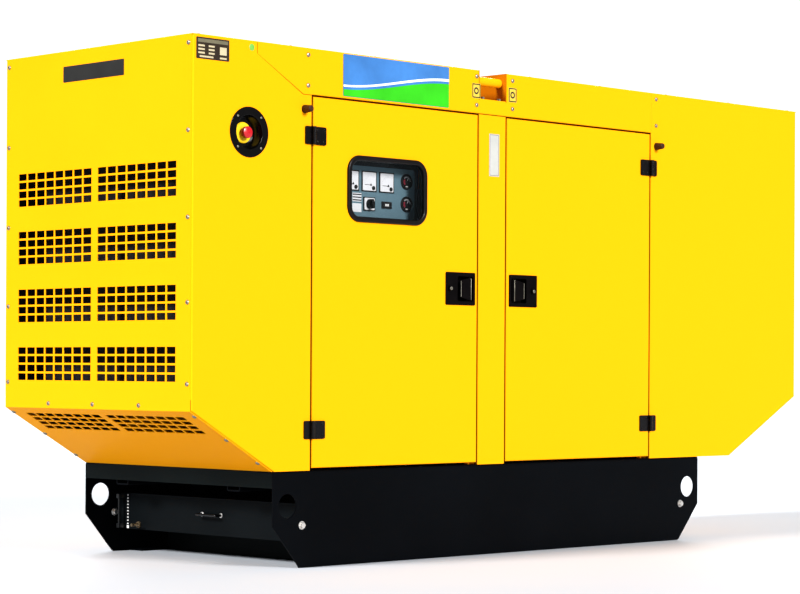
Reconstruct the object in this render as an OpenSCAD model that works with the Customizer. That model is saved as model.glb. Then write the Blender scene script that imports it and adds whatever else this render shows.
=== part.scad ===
// Sound-proofed diesel generating set: sheet canopy on a base frame with a tank.
// Millimetres, +Z up, X along the length, the control side faces -Y.
// The origin is at the middle of the footprint, on the ground.

/* [Overall] */
// Length of the canopy over its end panels
canopy_l = 3364; // [3200:1:3600]
// Width of the canopy over its side sheets
canopy_w = 1046; // [980:1:1120]
// Height from the ground to the roof
total_h = 1800; // [1760:1:1900]
// Thickness of the canopy sheet
sheet = 3; // [2:0.5:4]
// Width of the folded edges behind the sheets
flange = 38; // [25:1:45]
// Thickness of the foam lining
foam = 34; // [20:1:40]
// Inner radius of the folded edges
fold_r = 2; // [1:0.5:3]

/* [Sloped ends] */
// Horizontal run of the slope under the inlet end
near_run = 364; // [320:1:420]
// Height of the slope under the inlet end
near_rise = 209; // [170:1:240]
// Horizontal run of the slope under the outlet end
far_run = 452; // [400:1:500]
// Height of the slope under the outlet end
far_rise = 243; // [200:1:270]

/* [Grilles] */
// Width of one slot
slot_w = 46; // [40:1:48]
// Height of one slot
slot_h = 24; // [18:1:26]
// Pitch of the slots across the panel
slot_pitch_w = 54; // [52:0.5:56]
// Pitch of the slots up the panel
slot_pitch_h = 31; // [29:0.5:34]
// Slots across one block
slot_cols = 8; // [4:1:8]
// Slots up one block
slot_rows = 4; // [2:1:4]
// Middle of a block from the middle of the panel
block_y = 230; // [222:1:240]
// Pitch of the blocks up the panel
block_pitch = 207; // [150:1:220]
// Blocks up the panel
block_count = 4; // [2:1:4]
// Middle of the lowest block above the bend
block_low = 157; // [120:1:180]
// Middle of the slope block below the bend
slope_block = 99; // [80:1:130]

/* [Doors] */
// Width of the sheet between the inlet end and the first door
near_panel = 540; // [500:1:560]
// Width of the door at the inlet end
left_door_w = 833; // [800:1:880]
// Width of the door at the outlet end
right_door_w = 845; // [800:1:880]
// Width of the post between the doors
post_w = 148; // [120:1:180]
// Gap round a door
door_gap = 5; // [5:0.5:8]
// Gap under a door
sill_gap = 8; // [5:0.5:12]
// Depth of a door over its folded edge
door_d = 38; // [36:1:45]
// Height of the band over the doors
fascia_h = 161; // [150:1:180]
// Width of the sealing lip behind the door edge
lip_w = 25; // [15:1:35]
// Gap between a closed door and the sealing lip
lip_gap = 6; // [5:0.5:8]
// Gap at a fixed joint between two sheets
seam = 2; // [1.5:0.5:3]

/* [Fascia joint] */
// Top end of the joint from the inlet end
joint_top = 286; // [260:1:300]
// Foot of the joint from the inlet end
joint_foot = 498; // [450:1:510]
// Height of the upright part of the joint
joint_up = 41; // [30:1:60]

/* [Hinges] */
// Height of a hinge
hinge_h = 63; // [54:1:75]
// Width of the leaf on the fixed sheet
hinge_fixed_w = 36; // [24:1:40]
// Width of the leaf on the door
hinge_door_w = 62; // [45:1:70]
// Thickness of a hinge leaf
hinge_t = 5; // [4:0.5:6]
// Corner radius of a hinge leaf
hinge_r = 6; // [3:0.5:9]
// Radius of the hinge knuckle
knuckle_r = 8; // [7:0.5:8.5]
// Radius of the hinge pin
pin_r = 4; // [3:0.5:5]
// Pin axis in front of the sheet
pin_out = 9; // [9:0.5:10]
// Running clearance round a pin
pin_gap = 0.15; // [0.1:0.05:0.3]
// End clearance between the knuckles
knuckle_gap = 0.5; // [0.3:0.1:1]
// Gap between a leaf and the other leaf's knuckle
leaf_gap = 0.6; // [0.4:0.1:1]
// Upper hinge below the roof
hinge_top = 302; // [260:1:340]
// Lower hinge above the base
hinge_low = 141; // [110:1:200]

/* [Door buffers] */
// Radius of a buffer at its foot
buffer_r = 15; // [12:0.5:18]
// Radius of a buffer at its tip
buffer_tip_r = 11.5; // [9:0.5:12]
// Length of a buffer
buffer_l = 36; // [25:1:38]
// Rounding of a buffer's tip
buffer_round = 4; // [2:0.5:6]
// Buffer from the hinge axis
buffer_x = 37; // [34:1:45]
// Buffer below the roof
buffer_top = 213; // [205:1:225]

/* [Window] */
// Width of the window seal
window_w = 398; // [360:1:420]
// Height of the window seal
window_h = 236; // [200:1:260]
// Corner radius of the window seal
window_r = 58; // [45:1:70]
// Width of the window seal on the door
seal_w = 19; // [15:1:24]
// Overlap of the seal on the door sheet
seal_lap = 8; // [6:0.5:10]
// Height of the seal over the door sheet
seal_t = 8; // [6:0.5:10]
// Rounding of the seal's lips
seal_r = 5; // [3:0.5:5]
// Thickness of the window pane
pane_t = 4; // [3:0.5:5]
// Depth of the pane in its seal
pane_lap = 5; // [3:0.5:6]
// Clearance round the pane
pane_gap = 0.2; // [0.1:0.05:0.4]
// Middle of the window from the hinge edge of the door
window_x = 363; // [330:1:420]
// Middle of the window below the roof
window_top = 474; // [440:1:520]

/* [Latches] */
// Width of a latch plate
latch_w = 156; // [140:1:160]
// Height of a latch plate
latch_h = 121; // [112:1:130]
// Thickness of a latch plate
latch_t = 4; // [3:0.5:5]
// Corner radius of a latch plate
latch_r = 6; // [4:0.5:10]
// Rounding of the latch plate's rim
latch_rim = 2; // [1:0.5:2.5]
// Latch plate from the free edge of the door
latch_edge = 14; // [10:1:30]
// Middle of the latches below the roof
latch_top = 814; // [780:1:860]
// Width of the hand recess
recess_w = 84; // [82:1:86]
// Height of the hand recess
recess_h = 92; // [88:1:94]
// Depth of the hand recess behind the plate face
recess_d = 27; // [25:1:29]
// Recess edge from the post side of the plate
recess_edge = 11; // [10:0.5:13]
// Width of the paddle
paddle_w = 56; // [50:1:60]
// Taper of the paddle to its free edge, at each end
paddle_taper = 10; // [4:0.5:14]
// Thickness of the paddle
paddle_t = 5; // [4:0.5:6]
// Radius of the paddle barrel
barrel_r = 6; // [5:0.5:6.5]
// Gap between the paddle and the recess
paddle_gap = 5; // [5:0.5:6]
// Radius of the paddle pin
paddle_pin_r = 3; // [2.5:0.5:3.5]
// Radius of the lock cylinder
lock_r = 11; // [8:0.5:13]
// Lock cylinder from the outer edge of the plate
lock_x = 23; // [20:1:30]

/* [Stop button] */
// Dish middle from the inlet end
stop_x = 250; // [230:1:270]
// Dish middle below the roof
stop_top = 311; // [290:1:330]
// Radius of the dish flange
dish_r = 86; // [80:1:92]
// Radius of the dish mouth
dish_mouth_r = 58; // [54:1:60]
// Radius of the dish floor
dish_floor_r = 47; // [44:1:50]
// Depth of the dish
dish_d = 36; // [34:1:40]
// Thickness of the dish wall
dish_t = 3; // [2:0.5:4]
// Radius of the collar
collar_r = 36; // [30:1:40]
// Thickness of the collar
collar_t = 5; // [4:0.5:6]
// Radius of the button head
button_r = 20; // [18:0.5:22]
// Thickness of the button head
button_t = 14; // [12:0.5:16]
// Crown of the button head
button_crown = 4; // [2:0.5:6]
// Button face in front of the collar
button_out = 28; // [27:0.5:32]
// Radius of the button stem
stem_r = 8; // [6:0.5:10]
// Clearance round the button stem
stem_gap = 0.3; // [0.2:0.05:0.5]
// Size of the contact block behind the dish
contact_w = 44; // [36:1:50]
// Length of the contact block behind the dish
contact_l = 48; // [40:1:60]
// Length of the stem in the contact block
stem_in = 20; // [15:1:25]

/* [Lifting points] */
// Width of a lifting pocket
pocket_w = 152; // [140:1:170]
// Height of a lifting pocket
pocket_h = 109; // [105:1:125]
// Depth of a lifting pocket
pocket_d = 172; // [150:1:180]
// Plate thickness of a lifting pocket
pocket_t = 4; // [3:0.5:6]
// Radius of the lifting bar
bar_r = 17; // [14:0.5:20]
// Lifting bar behind the side sheet
bar_in = 36; // [32:1:45]
// Lifting bar below the roof
bar_top = 35; // [32:1:45]

/* [Base frame] */
// Height of the base frame
base_h = 336; // [320:1:350]
// Base end from the outlet end of the canopy
base_out = 667; // [600:1:740]
// Base end from the inlet end of the canopy
base_in = 367; // [360:1:420]
// Thickness of the base plate
base_t = 6; // [5:0.5:8]
// Width of the base flanges
base_flange = 80; // [60:1:90]
// Length of the cut corner
corner_l = 126; // [100:1:150]
// Height of the cut corner
corner_h = 145; // [120:1:155]
// Radius of a sling hole
sling_r = 42; // [38:1:48]
// Sling hole from the base end
sling_x = 67; // [54:1:75]
// Sling hole above the ground
sling_z = 216; // [202:1:225]
// Height of the end beam
beam_h = 58; // [50:1:66]
// Lower cross beam from the base end
cross_x = 330; // [320:1:400]
// Height of the lower cross beam
cross_h = 80; // [60:1:84]

/* [Fuel tank] */
// Tank end from the base end
tank_in = 150; // [150:1:190]
// Length of the tank
tank_l = 1250; // [1000:1:1400]
// Underside of the tank above the ground
tank_z = 86; // [85:1:100]
// Gap between the tank and the base sides
tank_side = 16; // [15:1:70]
// Rounding of the tank's long edges
tank_r = 18; // [8:1:30]
// Gap between the tank and the rails
tank_drop = 40; // [30:1:60]
// Length of a tank hanger along a rail
hanger_l = 90; // [60:1:120]
// Tank hanger from the end of the tank
hanger_in = 260; // [200:1:320]
// Length of the tank handle
handle_l = 104; // [90:1:150]
// Radius of the handle rod
handle_r = 5; // [4:0.5:6]
// Handle in front of the tank end
handle_out = 28; // [25:1:40]
// Middle of the handle from the middle of the tank
handle_y = -25; // [-60:1:60]
// Handle above the underside of the tank
handle_z = 74; // [60:1:90]
// Radius of the level tube
tube_r = 4; // [3:0.5:6]
// Level tube in front of the tank end
tube_out = 25; // [10:1:30]
// Drain cock from the level tube
drain_y = 90; // [70:1:140]
// Radius of the drain cock
drain_r = 6; // [4:0.5:8]

/* [Control panel] */
// Panel face behind the side sheet
panel_in = 80; // [70:1:90]
// Panel plate thickness
panel_t = 4; // [3:0.5:5]
// Width of the panel plate
panel_w = 436; // [420:1:450]
// Height of the panel plate
panel_h = 182; // [176:1:190]
// Corner radius of the panel plate
panel_r = 12; // [6:1:20]
// Panel end from the inlet end of the canopy
panel_x = 690; // [680:1:700]
// Panel top below the roof
panel_top = 383; // [375:1:390]
// Depth of the control box
control_d = 120; // [90:1:150]
// Margin of the control box round the panel plate
control_margin = 24; // [15:1:30]
// Width of a box leg
leg_w = 40; // [30:1:45]
// Side of a meter
meter_w = 74; // [68:1:80]
// Pitch of the meters
meter_pitch = 88; // [82:1:92]
// Depth of an instrument rim
meter_t = 2.5; // [2:0.5:12]
// Radius of a gauge
gauge_r = 29; // [25:0.5:32]
// Pitch of the gauges
gauge_pitch = 82; // [70:1:85]
// Upper gauge below the panel's top
gauge_top = 45; // [40:1:50]
// Gauges from the panel's end
gauge_in = 43; // [34:1:48]
// Last meter from the panel's end
meter_in = 145; // [130:1:150]
// Meters below the panel's top
meter_top = 54; // [48:1:58]
// Selector below the panel's top
selector_top = 135; // [125:1:140]
// Width of the selector plate
selector_w = 57; // [50:1:60]
// Height of the selector plate
selector_h = 49; // [44:1:52]
// Radius of the selector knob
knob_r = 13; // [10:0.5:16]
// Length of the selector knob
knob_l = 18; // [12:1:24]

/* [Generating set] */
// Height of the shaft above the ground
shaft_z = 770; // [750:1:800]
// Length of the alternator
alternator_l = 580; // [520:1:600]
// Radius of the alternator
alternator_r = 250; // [220:1:260]
// Alternator end from the inlet end of the canopy
alternator_x = 620; // [600:1:640]
// Length of the flywheel housing
housing_l = 90; // [70:1:110]
// Radius of the flywheel housing
housing_r = 270; // [250:1:280]
// Thickness of the flanges between the casings
casing_flange = 16; // [12:1:20]
// Cooling fins round the alternator
fin_count = 24; // [16:2:32]
// Height of a cooling fin
fin_h = 14; // [8:1:18]
// Thickness of a cooling fin
fin_t = 8; // [5:0.5:10]
// Air windows round the alternator cover
window_count = 12; // [8:1:16]
// Length of the alternator cover
cover_l = 80; // [60:1:100]
// Length of the terminal box
terminal_l = 360; // [300:1:400]
// Width of the terminal box
terminal_w = 260; // [220:1:300]
// Height of the terminal box over the alternator
terminal_h = 90; // [60:1:110]
// Radiator from the end of the base
radiator_in = 177; // [150:1:260]
// Width of the engine block
block_w = 400; // [360:1:420]
// Height of the engine block above the shaft
block_h = 250; // [220:1:280]
// Depth of the engine block below the shaft
block_d = 170; // [150:1:180]
// Depth of the sump
sump_d = 160; // [120:1:180]
// Rounding of the castings
casting_r = 30; // [15:1:40]
// Thickness of the crankcase ribs
rib_t = 12; // [8:1:16]
// Number of cylinders
cylinders = 6; // [4:1:6]
// Radius of the pulleys
pulley_r = 72; // [60:1:78]
// Width of the belt
belt_w = 26; // [18:1:32]
// Thickness of the belt
belt_t = 10; // [6:1:12]
// Radius of an oil filter
filter_r = 48; // [40:1:55]
// Length of an oil filter
filter_l = 170; // [140:1:190]
// Radius of the starter motor
starter_r = 55; // [45:1:60]
// Length of the starter motor
starter_l = 240; // [200:1:280]
// Radius of the injection pump
pump_r = 46; // [40:1:52]
// Length of the injection pump
pump_l = 280; // [240:1:320]
// Radius of the inlet manifold
inlet_r = 46; // [36:1:54]
// Height of the cylinder head
head_h = 120; // [100:1:140]
// Height of the rocker cover
cover_h = 60; // [40:1:80]
// Width of the cylinder head
head_w = 300; // [280:1:320]
// Radius of the cooling fan
fan_r = 300; // [280:1:320]
// Fan axis above the shaft
fan_up = 190; // [170:1:195]
// Radius of the fan hub
hub_r = 85; // [70:1:95]
// Pitch of the fan blades in degrees
blade_pitch = 30; // [20:1:35]
// Width of the fan blades along the shaft
fan_l = 60; // [50:1:70]
// Number of fan blades
fan_blades = 8; // [5:1:10]
// Gap between the fan and the radiator
fan_gap = 60; // [40:1:80]
// Thickness of the radiator
radiator_t = 120; // [90:1:140]
// Width of the radiator
radiator_w = 800; // [760:1:840]
// Height of the radiator
radiator_h = 1000; // [950:1:1050]
// Width of the radiator's side posts
radiator_post = 50; // [40:1:60]
// Height of the radiator's tanks
radiator_tank = 110; // [90:1:130]
// Running gap round the fan
fan_ring_gap = 15; // [10:1:20]
// Radius of the silencer
silencer_r = 130; // [110:1:140]
// Rounding of the silencer's ends
silencer_end = 55; // [40:1:70]
// Length of the silencer past the middle of the engine, each way
silencer_half = 380; // [350:1:400]
// Radius of the exhaust pipe
pipe_r = 42; // [35:1:50]
// Rail middle from the side of the base
rail_in = 213; // [205:1:225]
// Width of a rail
rail_w = 70; // [60:1:76]
// Wall of a rail
rail_t = 6; // [4:0.5:8]
// Radius of a rubber mount
mount_r = 30; // [26:1:32]
// Height of a rubber mount
mount_h = 45; // [35:1:60]

/* [Hidden] */
$fn = 64;

half_l = canopy_l / 2;
half_w = canopy_w / 2;
roof_z = total_h - sheet;
near_z = base_h + near_rise;
far_z = base_h + far_rise;
fold_out = fold_r + sheet;
eps = 1;

// Thickness of a sloped sheet measured along X.
function slope_t(run, rise) = sheet * sqrt(run * run + rise * rise) / rise;
near_t = slope_t(near_run, near_rise);
far_t = slope_t(far_run, far_rise);

// Sheet edges along the front, from the inlet end to the outlet end.
near_edge = -half_l + near_panel;
left_hinge_edge = near_edge + door_gap;
left_free_edge = left_hinge_edge + left_door_w;
post_near = left_free_edge + door_gap;
post_far = post_near + post_w;
right_free_edge = post_far + door_gap;
right_hinge_edge = right_free_edge + right_door_w;
far_edge = right_hinge_edge + door_gap;
fascia_z = total_h - fascia_h;
door_z0 = base_h + sill_gap;
door_z1 = fascia_z - door_gap;
jamb_d = door_d + lip_gap + sheet;
left_axis = near_edge + door_gap / 2;
right_axis = far_edge - door_gap / 2;
axis_y = -half_w - pin_out;
hinge_z = [total_h - hinge_top, base_h + hinge_low];
post_mid = (post_near + post_far) / 2;

base_x0 = -half_l + base_in;
base_x1 = half_l - base_out;
rail_z = base_h - base_t;
rail_y = half_w - rail_in;
tank_x0 = base_x0 + tank_in;
tank_top = rail_z - rail_w - tank_drop;

alt_x0 = -half_l + alternator_x;
alt_x1 = alt_x0 + alternator_l;
block_x0 = alt_x1 + housing_l;
radiator_x = base_x1 - radiator_in - radiator_t;
fan_x = radiator_x - fan_gap - fan_l;
block_x1 = fan_x - fan_gap;
block_l = block_x1 - block_x0;
fan_z = shaft_z + fan_up;
cylinder_pitch = block_l / cylinders;
block_top = shaft_z + block_h;
head_top = block_top + head_h;
foot_z = rail_z + mount_h;

latch_z = total_h - latch_top;
window_z = total_h - window_top;
window_mid = left_hinge_edge + window_x;
stop_z = total_h - stop_top;
panel_y = -half_w + panel_in;
panel_x0 = -half_l + panel_x;
panel_z1 = total_h - panel_top;

// Outline given by its upper half, repeated below the first axis.
function mirrored(half) = concat(half, [for (k = [len(half) - 1 : -1 : 0]) [half[k][0], -half[k][1]]]);

module box(lo, hi) { translate(lo) cube(hi - lo); }

// A flat outline in X and Z, given a thickness along Y.
module plate_xz(y0, y1) { translate([0, y1, 0]) rotate([90, 0, 0]) linear_extrude(y1 - y0) children(); }

// A flat outline in Y and Z, given a thickness along X.
module plate_yz(x0, x1) { translate([x0, 0, 0]) rotate([90, 0, 90]) linear_extrude(x1 - x0) children(); }

module round_rect(w, h, r) {
    square([w - 2 * r, h], center = true);
    square([w, h - 2 * r], center = true);
    for (x = [-1, 1], y = [-1, 1]) translate([x * (w / 2 - r), y * (h / 2 - r)]) circle(r);
}

// Section of a pan: a rectangle from the origin with its two corners at the front rounded.
module pan_section(w, d, r) {
    intersection() {
        square([w, d]);
        union() {
            translate([0, r]) square([w, d]);
            translate([r, 0]) square([w - 2 * r, d]);
            for (x = [r, w - r]) translate([x, r]) circle(r);
        }
    }
}

// The same section with its front towards -X.
module pan_side(h, d, r) { mirror([1, -1, 0]) pan_section(h, d, r); }

// Pan of width X, depth Y and height Z with its front edges rounded.
module pan(w, h, d, r) {
    intersection() {
        linear_extrude(h) pan_section(w, d, r);
        plate_yz(0, w) pan_side(h, d, r);
    }
}

// The same pan lying on its back with its rounded front on top, centred in X and Y.
module pan_up(w, l, d, r) { translate([-w / 2, -l / 2, d]) rotate([-90, 0, 0]) pan(w, l, d, r); }

// What a fold of outer radius r takes off a square corner at the origin.
module cove(r) {
    difference() {
        translate([-eps, -eps]) square(r + eps);
        translate([r, r]) circle(r);
    }
}

// Turns a solid made along Z to lie along X, from x at the height z.
module along_x(x, z) { translate([x, 0, z]) rotate([0, 90, 0]) children(); }

// Outline of the side sheets, inside the end and slope sheets.
module side_outline() {
    polygon([[-half_l + sheet, near_z + (near_t - sheet) * near_rise / near_run],
        [-half_l + sheet, roof_z],
        [half_l - sheet, roof_z], [half_l - sheet, far_z + (far_t - sheet) * far_rise / far_run],
        [half_l - far_run - far_t, base_h], [-half_l + near_run + near_t, base_h]]);
}

// Joint between the inlet side sheet and the band over the doors.
module fascia_zone(shift) {
    polygon([[-half_l + joint_top + shift, total_h], [-half_l + joint_top + shift, total_h - joint_up],
        [-half_l + joint_foot + shift, fascia_z - seam / 2 + shift],
            [half_l, fascia_z - seam / 2 + shift], [half_l, total_h]]);
}

// One block of slots, centred.
module slot_block() {
    for (i = [0 : slot_cols - 1], j = [0 : slot_rows - 1])
        translate([(i - (slot_cols - 1) / 2) * slot_pitch_w, (j - (slot_rows - 1) / 2) * slot_pitch_h])
            square([slot_w, slot_h], center = true);
}

// Upright end sheet with its rows of slot blocks, at the inlet end.
module end_sheet(z0) {
    plate_yz(-half_l, -half_l + sheet) difference() {
        translate([-half_w + fold_out, z0]) square([canopy_w - 2 * fold_out, roof_z - z0]);
        for (s = [-1, 1], k = [0 : block_count - 1])
            translate([s * block_y, z0 + block_low + k * block_pitch]) slot_block();
    }
}

// Sloped sheet under an end, with one pair of slot blocks, at the inlet end.
module slope_sheet(run, rise) {
    t = slope_t(run, rise);
    z0 = base_h + rise;
    intersection() {
        plate_xz(-half_w + fold_out, half_w - fold_out)
            polygon([[-half_l, z0], [-half_l + run, base_h], [-half_l + run + t, base_h],
            [-half_l + t, z0]]);
        translate([-half_l, 0, z0]) rotate([0, atan(rise / run), 0]) linear_extrude(sheet) difference() {
            translate([-2 * t, -half_w]) square([run + rise, canopy_w]);
            for (s = [-1, 1]) translate([slope_block, s * block_y]) rotate(90) slot_block();
        }
    }
}

// Folded edges of a side sheet behind the end and slope sheets, at the inlet end.
module side_folds(run, rise) {
    t = slope_t(run, rise);
    z0 = base_h + rise;
    box([-half_l + sheet, -half_w, z0 + flange], [-half_l + 2 * sheet, -half_w + flange, roof_z]);
    plate_xz(-half_w, -half_w + flange)
        polygon([for (p = [[t, flange], [t, rise - sheet], [2 * t, rise - sheet], [2 * t, flange]])
        [-half_l + p[0] + p[1] * run / rise, z0 - p[1]]]);
}

// Rounding of the upright and sloped corners, at the inlet end.
module corner_cove(run, rise) {
    translate([-half_l + sheet, -half_w, base_h]) linear_extrude(total_h) cove(fold_out);
    translate([-half_l + run + slope_t(run, rise), -half_w, base_h]) rotate([0, -atan(run / rise), 0])
        translate([0, 0, -2 * fold_out]) linear_extrude(run + rise) cove(fold_out);
}

// Folded edge and sealing lip along a door opening; side is +1 where the door is on the +X side.
module jamb(x, side) {
    box([min(x, x - side * sheet), -half_w, base_h],
        [max(x, x - side * sheet), -half_w + jamb_d, fascia_z - seam]);
    box([min(x, x + side * lip_w), -half_w + jamb_d - sheet, base_h],
        [max(x, x + side * lip_w), -half_w + jamb_d, fascia_z - seam]);
}

// Rounding of an upright edge beside a door; side is +1 where the door is on the +X side.
module jamb_cove(x, side) {
    translate([x, -half_w, 0]) mirror([side > 0 ? 1 : 0, 0, 0]) linear_extrude(total_h) cove(fold_out);
}

module near_wall(stop) {
    difference() {
        union() {
            plate_xz(-half_w, -half_w + sheet) difference() {
                intersection() {
                    side_outline();
                    translate([-half_l, base_h]) square([near_panel, total_h]);
                }
                fascia_zone(-seam / 2);
            }
            side_folds(near_run, near_rise);
            jamb(near_edge, 1);
        }
        corner_cove(near_run, near_rise);
        jamb_cove(near_edge, 1);
        if (stop) translate([-half_l + stop_x, -half_w - eps, stop_z]) rotate([-90, 0, 0])
            cylinder(r = dish_mouth_r + dish_t, h = sheet + 2 * eps);
    }
}

module far_wall() {
    difference() {
        union() {
            plate_xz(-half_w, -half_w + sheet) intersection() {
                side_outline();
                translate([far_edge, base_h]) square([half_l - far_edge, total_h]);
            }
            mirror([1, 0, 0]) side_folds(far_run, far_rise);
            jamb(far_edge, -1);
        }
        mirror([1, 0, 0]) corner_cove(far_run, far_rise);
        jamb_cove(far_edge, -1);
    }
}

module fascia() {
    difference() {
        union() {
            plate_xz(-half_w, -half_w + sheet) difference() {
                intersection() {
                    fascia_zone(seam / 2);
                    translate([-half_l, base_h]) square([half_l + far_edge, roof_z - base_h]);
                }
                translate([post_mid - pocket_w / 2, total_h - pocket_h]) square([pocket_w, total_h]);
            }
            box([near_edge, -half_w, fascia_z], [far_edge, -half_w + jamb_d, fascia_z + sheet]);
        }
        plate_yz(near_edge, far_edge + eps) translate([-half_w, fascia_z]) cove(fold_out);
    }
    for (x = [[near_edge, post_near], [post_far, far_edge]])
        box([x[0] + lip_w, -half_w + jamb_d - sheet, fascia_z - lip_w],
            [x[1] - lip_w, -half_w + jamb_d, fascia_z + sheet]);
}

module post() {
    difference() {
        union() {
            box([post_near, -half_w, base_h], [post_far, -half_w + sheet, fascia_z - seam]);
            jamb(post_near, -1);
            jamb(post_far, 1);
        }
        jamb_cove(post_near, -1);
        jamb_cove(post_far, 1);
    }
}

// Door tray: outer sheet with a folded edge all round.
module door_tray(x0, w) {
    h = door_z1 - door_z0;
    translate([x0, -half_w, door_z0]) difference() {
        pan(w, h, door_d, fold_out);
        translate([sheet, sheet, sheet]) pan(w - 2 * sheet, h - 2 * sheet, door_d, fold_r);
    }
}

module door_foam(x0, w) {
    inset = fold_out;
    box([x0 + inset, -half_w + sheet, door_z0 + inset],
        [x0 + w - inset, -half_w + sheet + foam - lip_gap / 2, door_z1 - inset]);
}

// Middle of a latch plate; side is +1 where the free edge is on the +X side.
function latch_x(edge, side) = edge - side * (latch_edge + latch_w / 2);
recess_mid = latch_w / 2 - recess_edge - recess_w / 2;
barrel_x = latch_w / 2 - recess_edge - 2 * barrel_r - paddle_gap / 2;
barrel_y = -half_w - latch_t + barrel_r;
paddle_h = recess_h - 2 * paddle_gap;

// Opening in the door for a latch, placed with its free edge on the +X side.
module latch_hole(y0, y1, margin) {
    translate([recess_mid - latch_r / 2, 0, latch_z]) plate_xz(y0, y1)
        square([recess_w + 2 * latch_r + latch_r + 2 * margin, recess_h + 2 * latch_r + 2 * margin],
        center = true);
}

// Both latches of one side.
module latch_pair() {
    translate([latch_x(left_free_edge, 1), 0, 0]) children();
    translate([latch_x(right_free_edge, -1), 0, 0]) mirror([1, 0, 0]) children();
}

module latch_case_shape() {
    difference() {
        union() {
            intersection() {
                translate([0, 0, latch_z]) plate_xz(-half_w - latch_t, -half_w)
                    round_rect(latch_w, latch_h, latch_r);
                translate([-latch_w / 2, -half_w - latch_t, latch_z - latch_h / 2])
                    pan(latch_w, latch_h, latch_t, latch_rim);
            }
            latch_hole(-half_w - latch_t + latch_rim, -half_w - latch_t + recess_d + sheet, 0);
            translate([-latch_w / 2 + lock_x, -half_w, latch_z]) rotate([90, 0, 0])
                cylinder(r = lock_r, h = latch_t + paddle_t);
        }
        translate([recess_mid, 0, latch_z])
            plate_xz(-half_w - latch_t - eps, -half_w - latch_t + recess_d)
            round_rect(recess_w, recess_h, latch_r);
    }
    translate([barrel_x, barrel_y, latch_z - recess_h / 2]) cylinder(r = paddle_pin_r, h = recess_h);
}

module latch_paddle_shape() {
    tip = barrel_x - paddle_w + paddle_t / 2;
    difference() {
        intersection() {
            translate([0, 0, latch_z - paddle_h / 2]) linear_extrude(paddle_h) {
                translate([barrel_x, barrel_y]) circle(barrel_r);
                translate([tip, -half_w - latch_t - paddle_t / 2]) square([barrel_x - tip, paddle_t]);
                translate([tip, -half_w - latch_t]) circle(paddle_t / 2);
            }
            translate([barrel_x, 0, latch_z]) plate_xz(-half_w - recess_d, -half_w + recess_d)
                polygon(mirrored([[barrel_r + eps, paddle_h / 2], [-barrel_r, paddle_h / 2],
                    [-paddle_w - eps, paddle_h / 2 - paddle_taper]]));
        }
        translate([barrel_x, barrel_y, latch_z - paddle_h])
            cylinder(r = paddle_pin_r + pin_gap, h = 2 * paddle_h);
    }
}

// Flat of a hinge leaf with its two outer corners rounded; side is +1 towards +X from the pin.
module hinge_leaf(w, side) {
    inner = knuckle_r + leaf_gap;
    plate_xz(pin_out - hinge_t, pin_out) mirror([side < 0 ? 1 : 0, 0]) intersection() {
        translate([inner, 0]) square([w - inner, hinge_h]);
        translate([0, hinge_h / 2]) round_rect(2 * w, hinge_h, hinge_r);
    }
}

// Leaf on the fixed sheet with the outer knuckles and the pin; side is +1 where the door is on the +X
// side.
module hinge_fixed(x, z, side) {
    third = hinge_h / 3;
    translate([x, axis_y, z - hinge_h / 2]) mirror([side < 0 ? 1 : 0, 0, 0]) {
        hinge_leaf(hinge_fixed_w, -1);
        for (k = [0, 2]) {
            translate([0, 0, k * third]) cylinder(r = knuckle_r, h = third);
            box([-knuckle_r - leaf_gap, pin_out - hinge_t, k * third],
                [-pin_r / 2, pin_out - leaf_gap, (k + 1) * third]);
        }
        cylinder(r = pin_r, h = hinge_h);
    }
}

module hinge_moving(x, z, side) {
    third = hinge_h / 3;
    translate([x, axis_y, z - hinge_h / 2]) mirror([side < 0 ? 1 : 0, 0, 0]) difference() {
        union() {
            hinge_leaf(hinge_door_w, 1);
            translate([0, 0, third + knuckle_gap]) cylinder(r = knuckle_r, h = third - 2 * knuckle_gap);
            box([pin_r / 2, pin_out - hinge_t, third + knuckle_gap],
                [knuckle_r + 2 * leaf_gap, pin_out - leaf_gap, 2 * third - knuckle_gap]);
        }
        translate([0, 0, -eps]) cylinder(r = pin_r + pin_gap, h = hinge_h + 2 * eps);
    }
}

module lifting_point() {
    z0 = total_h - pocket_h;
    difference() {
        box([post_mid - pocket_w / 2, -half_w, z0],
            [post_mid + pocket_w / 2, -half_w + pocket_d, total_h]);
        box([post_mid - pocket_w / 2 + pocket_t, -half_w - eps, z0 + pocket_t],
            [post_mid + pocket_w / 2 - pocket_t, -half_w + pocket_d - pocket_t, total_h + eps]);
    }
    translate([post_mid - pocket_w / 2, -half_w + bar_in, total_h - bar_top]) rotate([0, 90, 0])
        cylinder(r = bar_r, h = pocket_w);
}

module lining_near(hole) {
    plate_xz(-half_w + sheet, -half_w + foam) difference() {
        polygon([[-half_l + flange, near_z + flange], [-half_l + flange, roof_z - foam],
            [near_edge - flange, roof_z - foam],
            [near_edge - flange, base_h + flange], [-half_l + near_run + flange, base_h + flange]]);
        if (hole) translate([-half_l + stop_x, stop_z]) circle(dish_r);
    }
}

module lining_far() {
    plate_xz(-half_w + sheet, -half_w + foam)
        polygon([[half_l - flange, far_z + flange], [half_l - flange, roof_z - foam],
        [far_edge + flange, roof_z - foam], [far_edge + flange, base_h + flange],
            [half_l - far_run - flange, base_h + flange]]);
}

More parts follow.
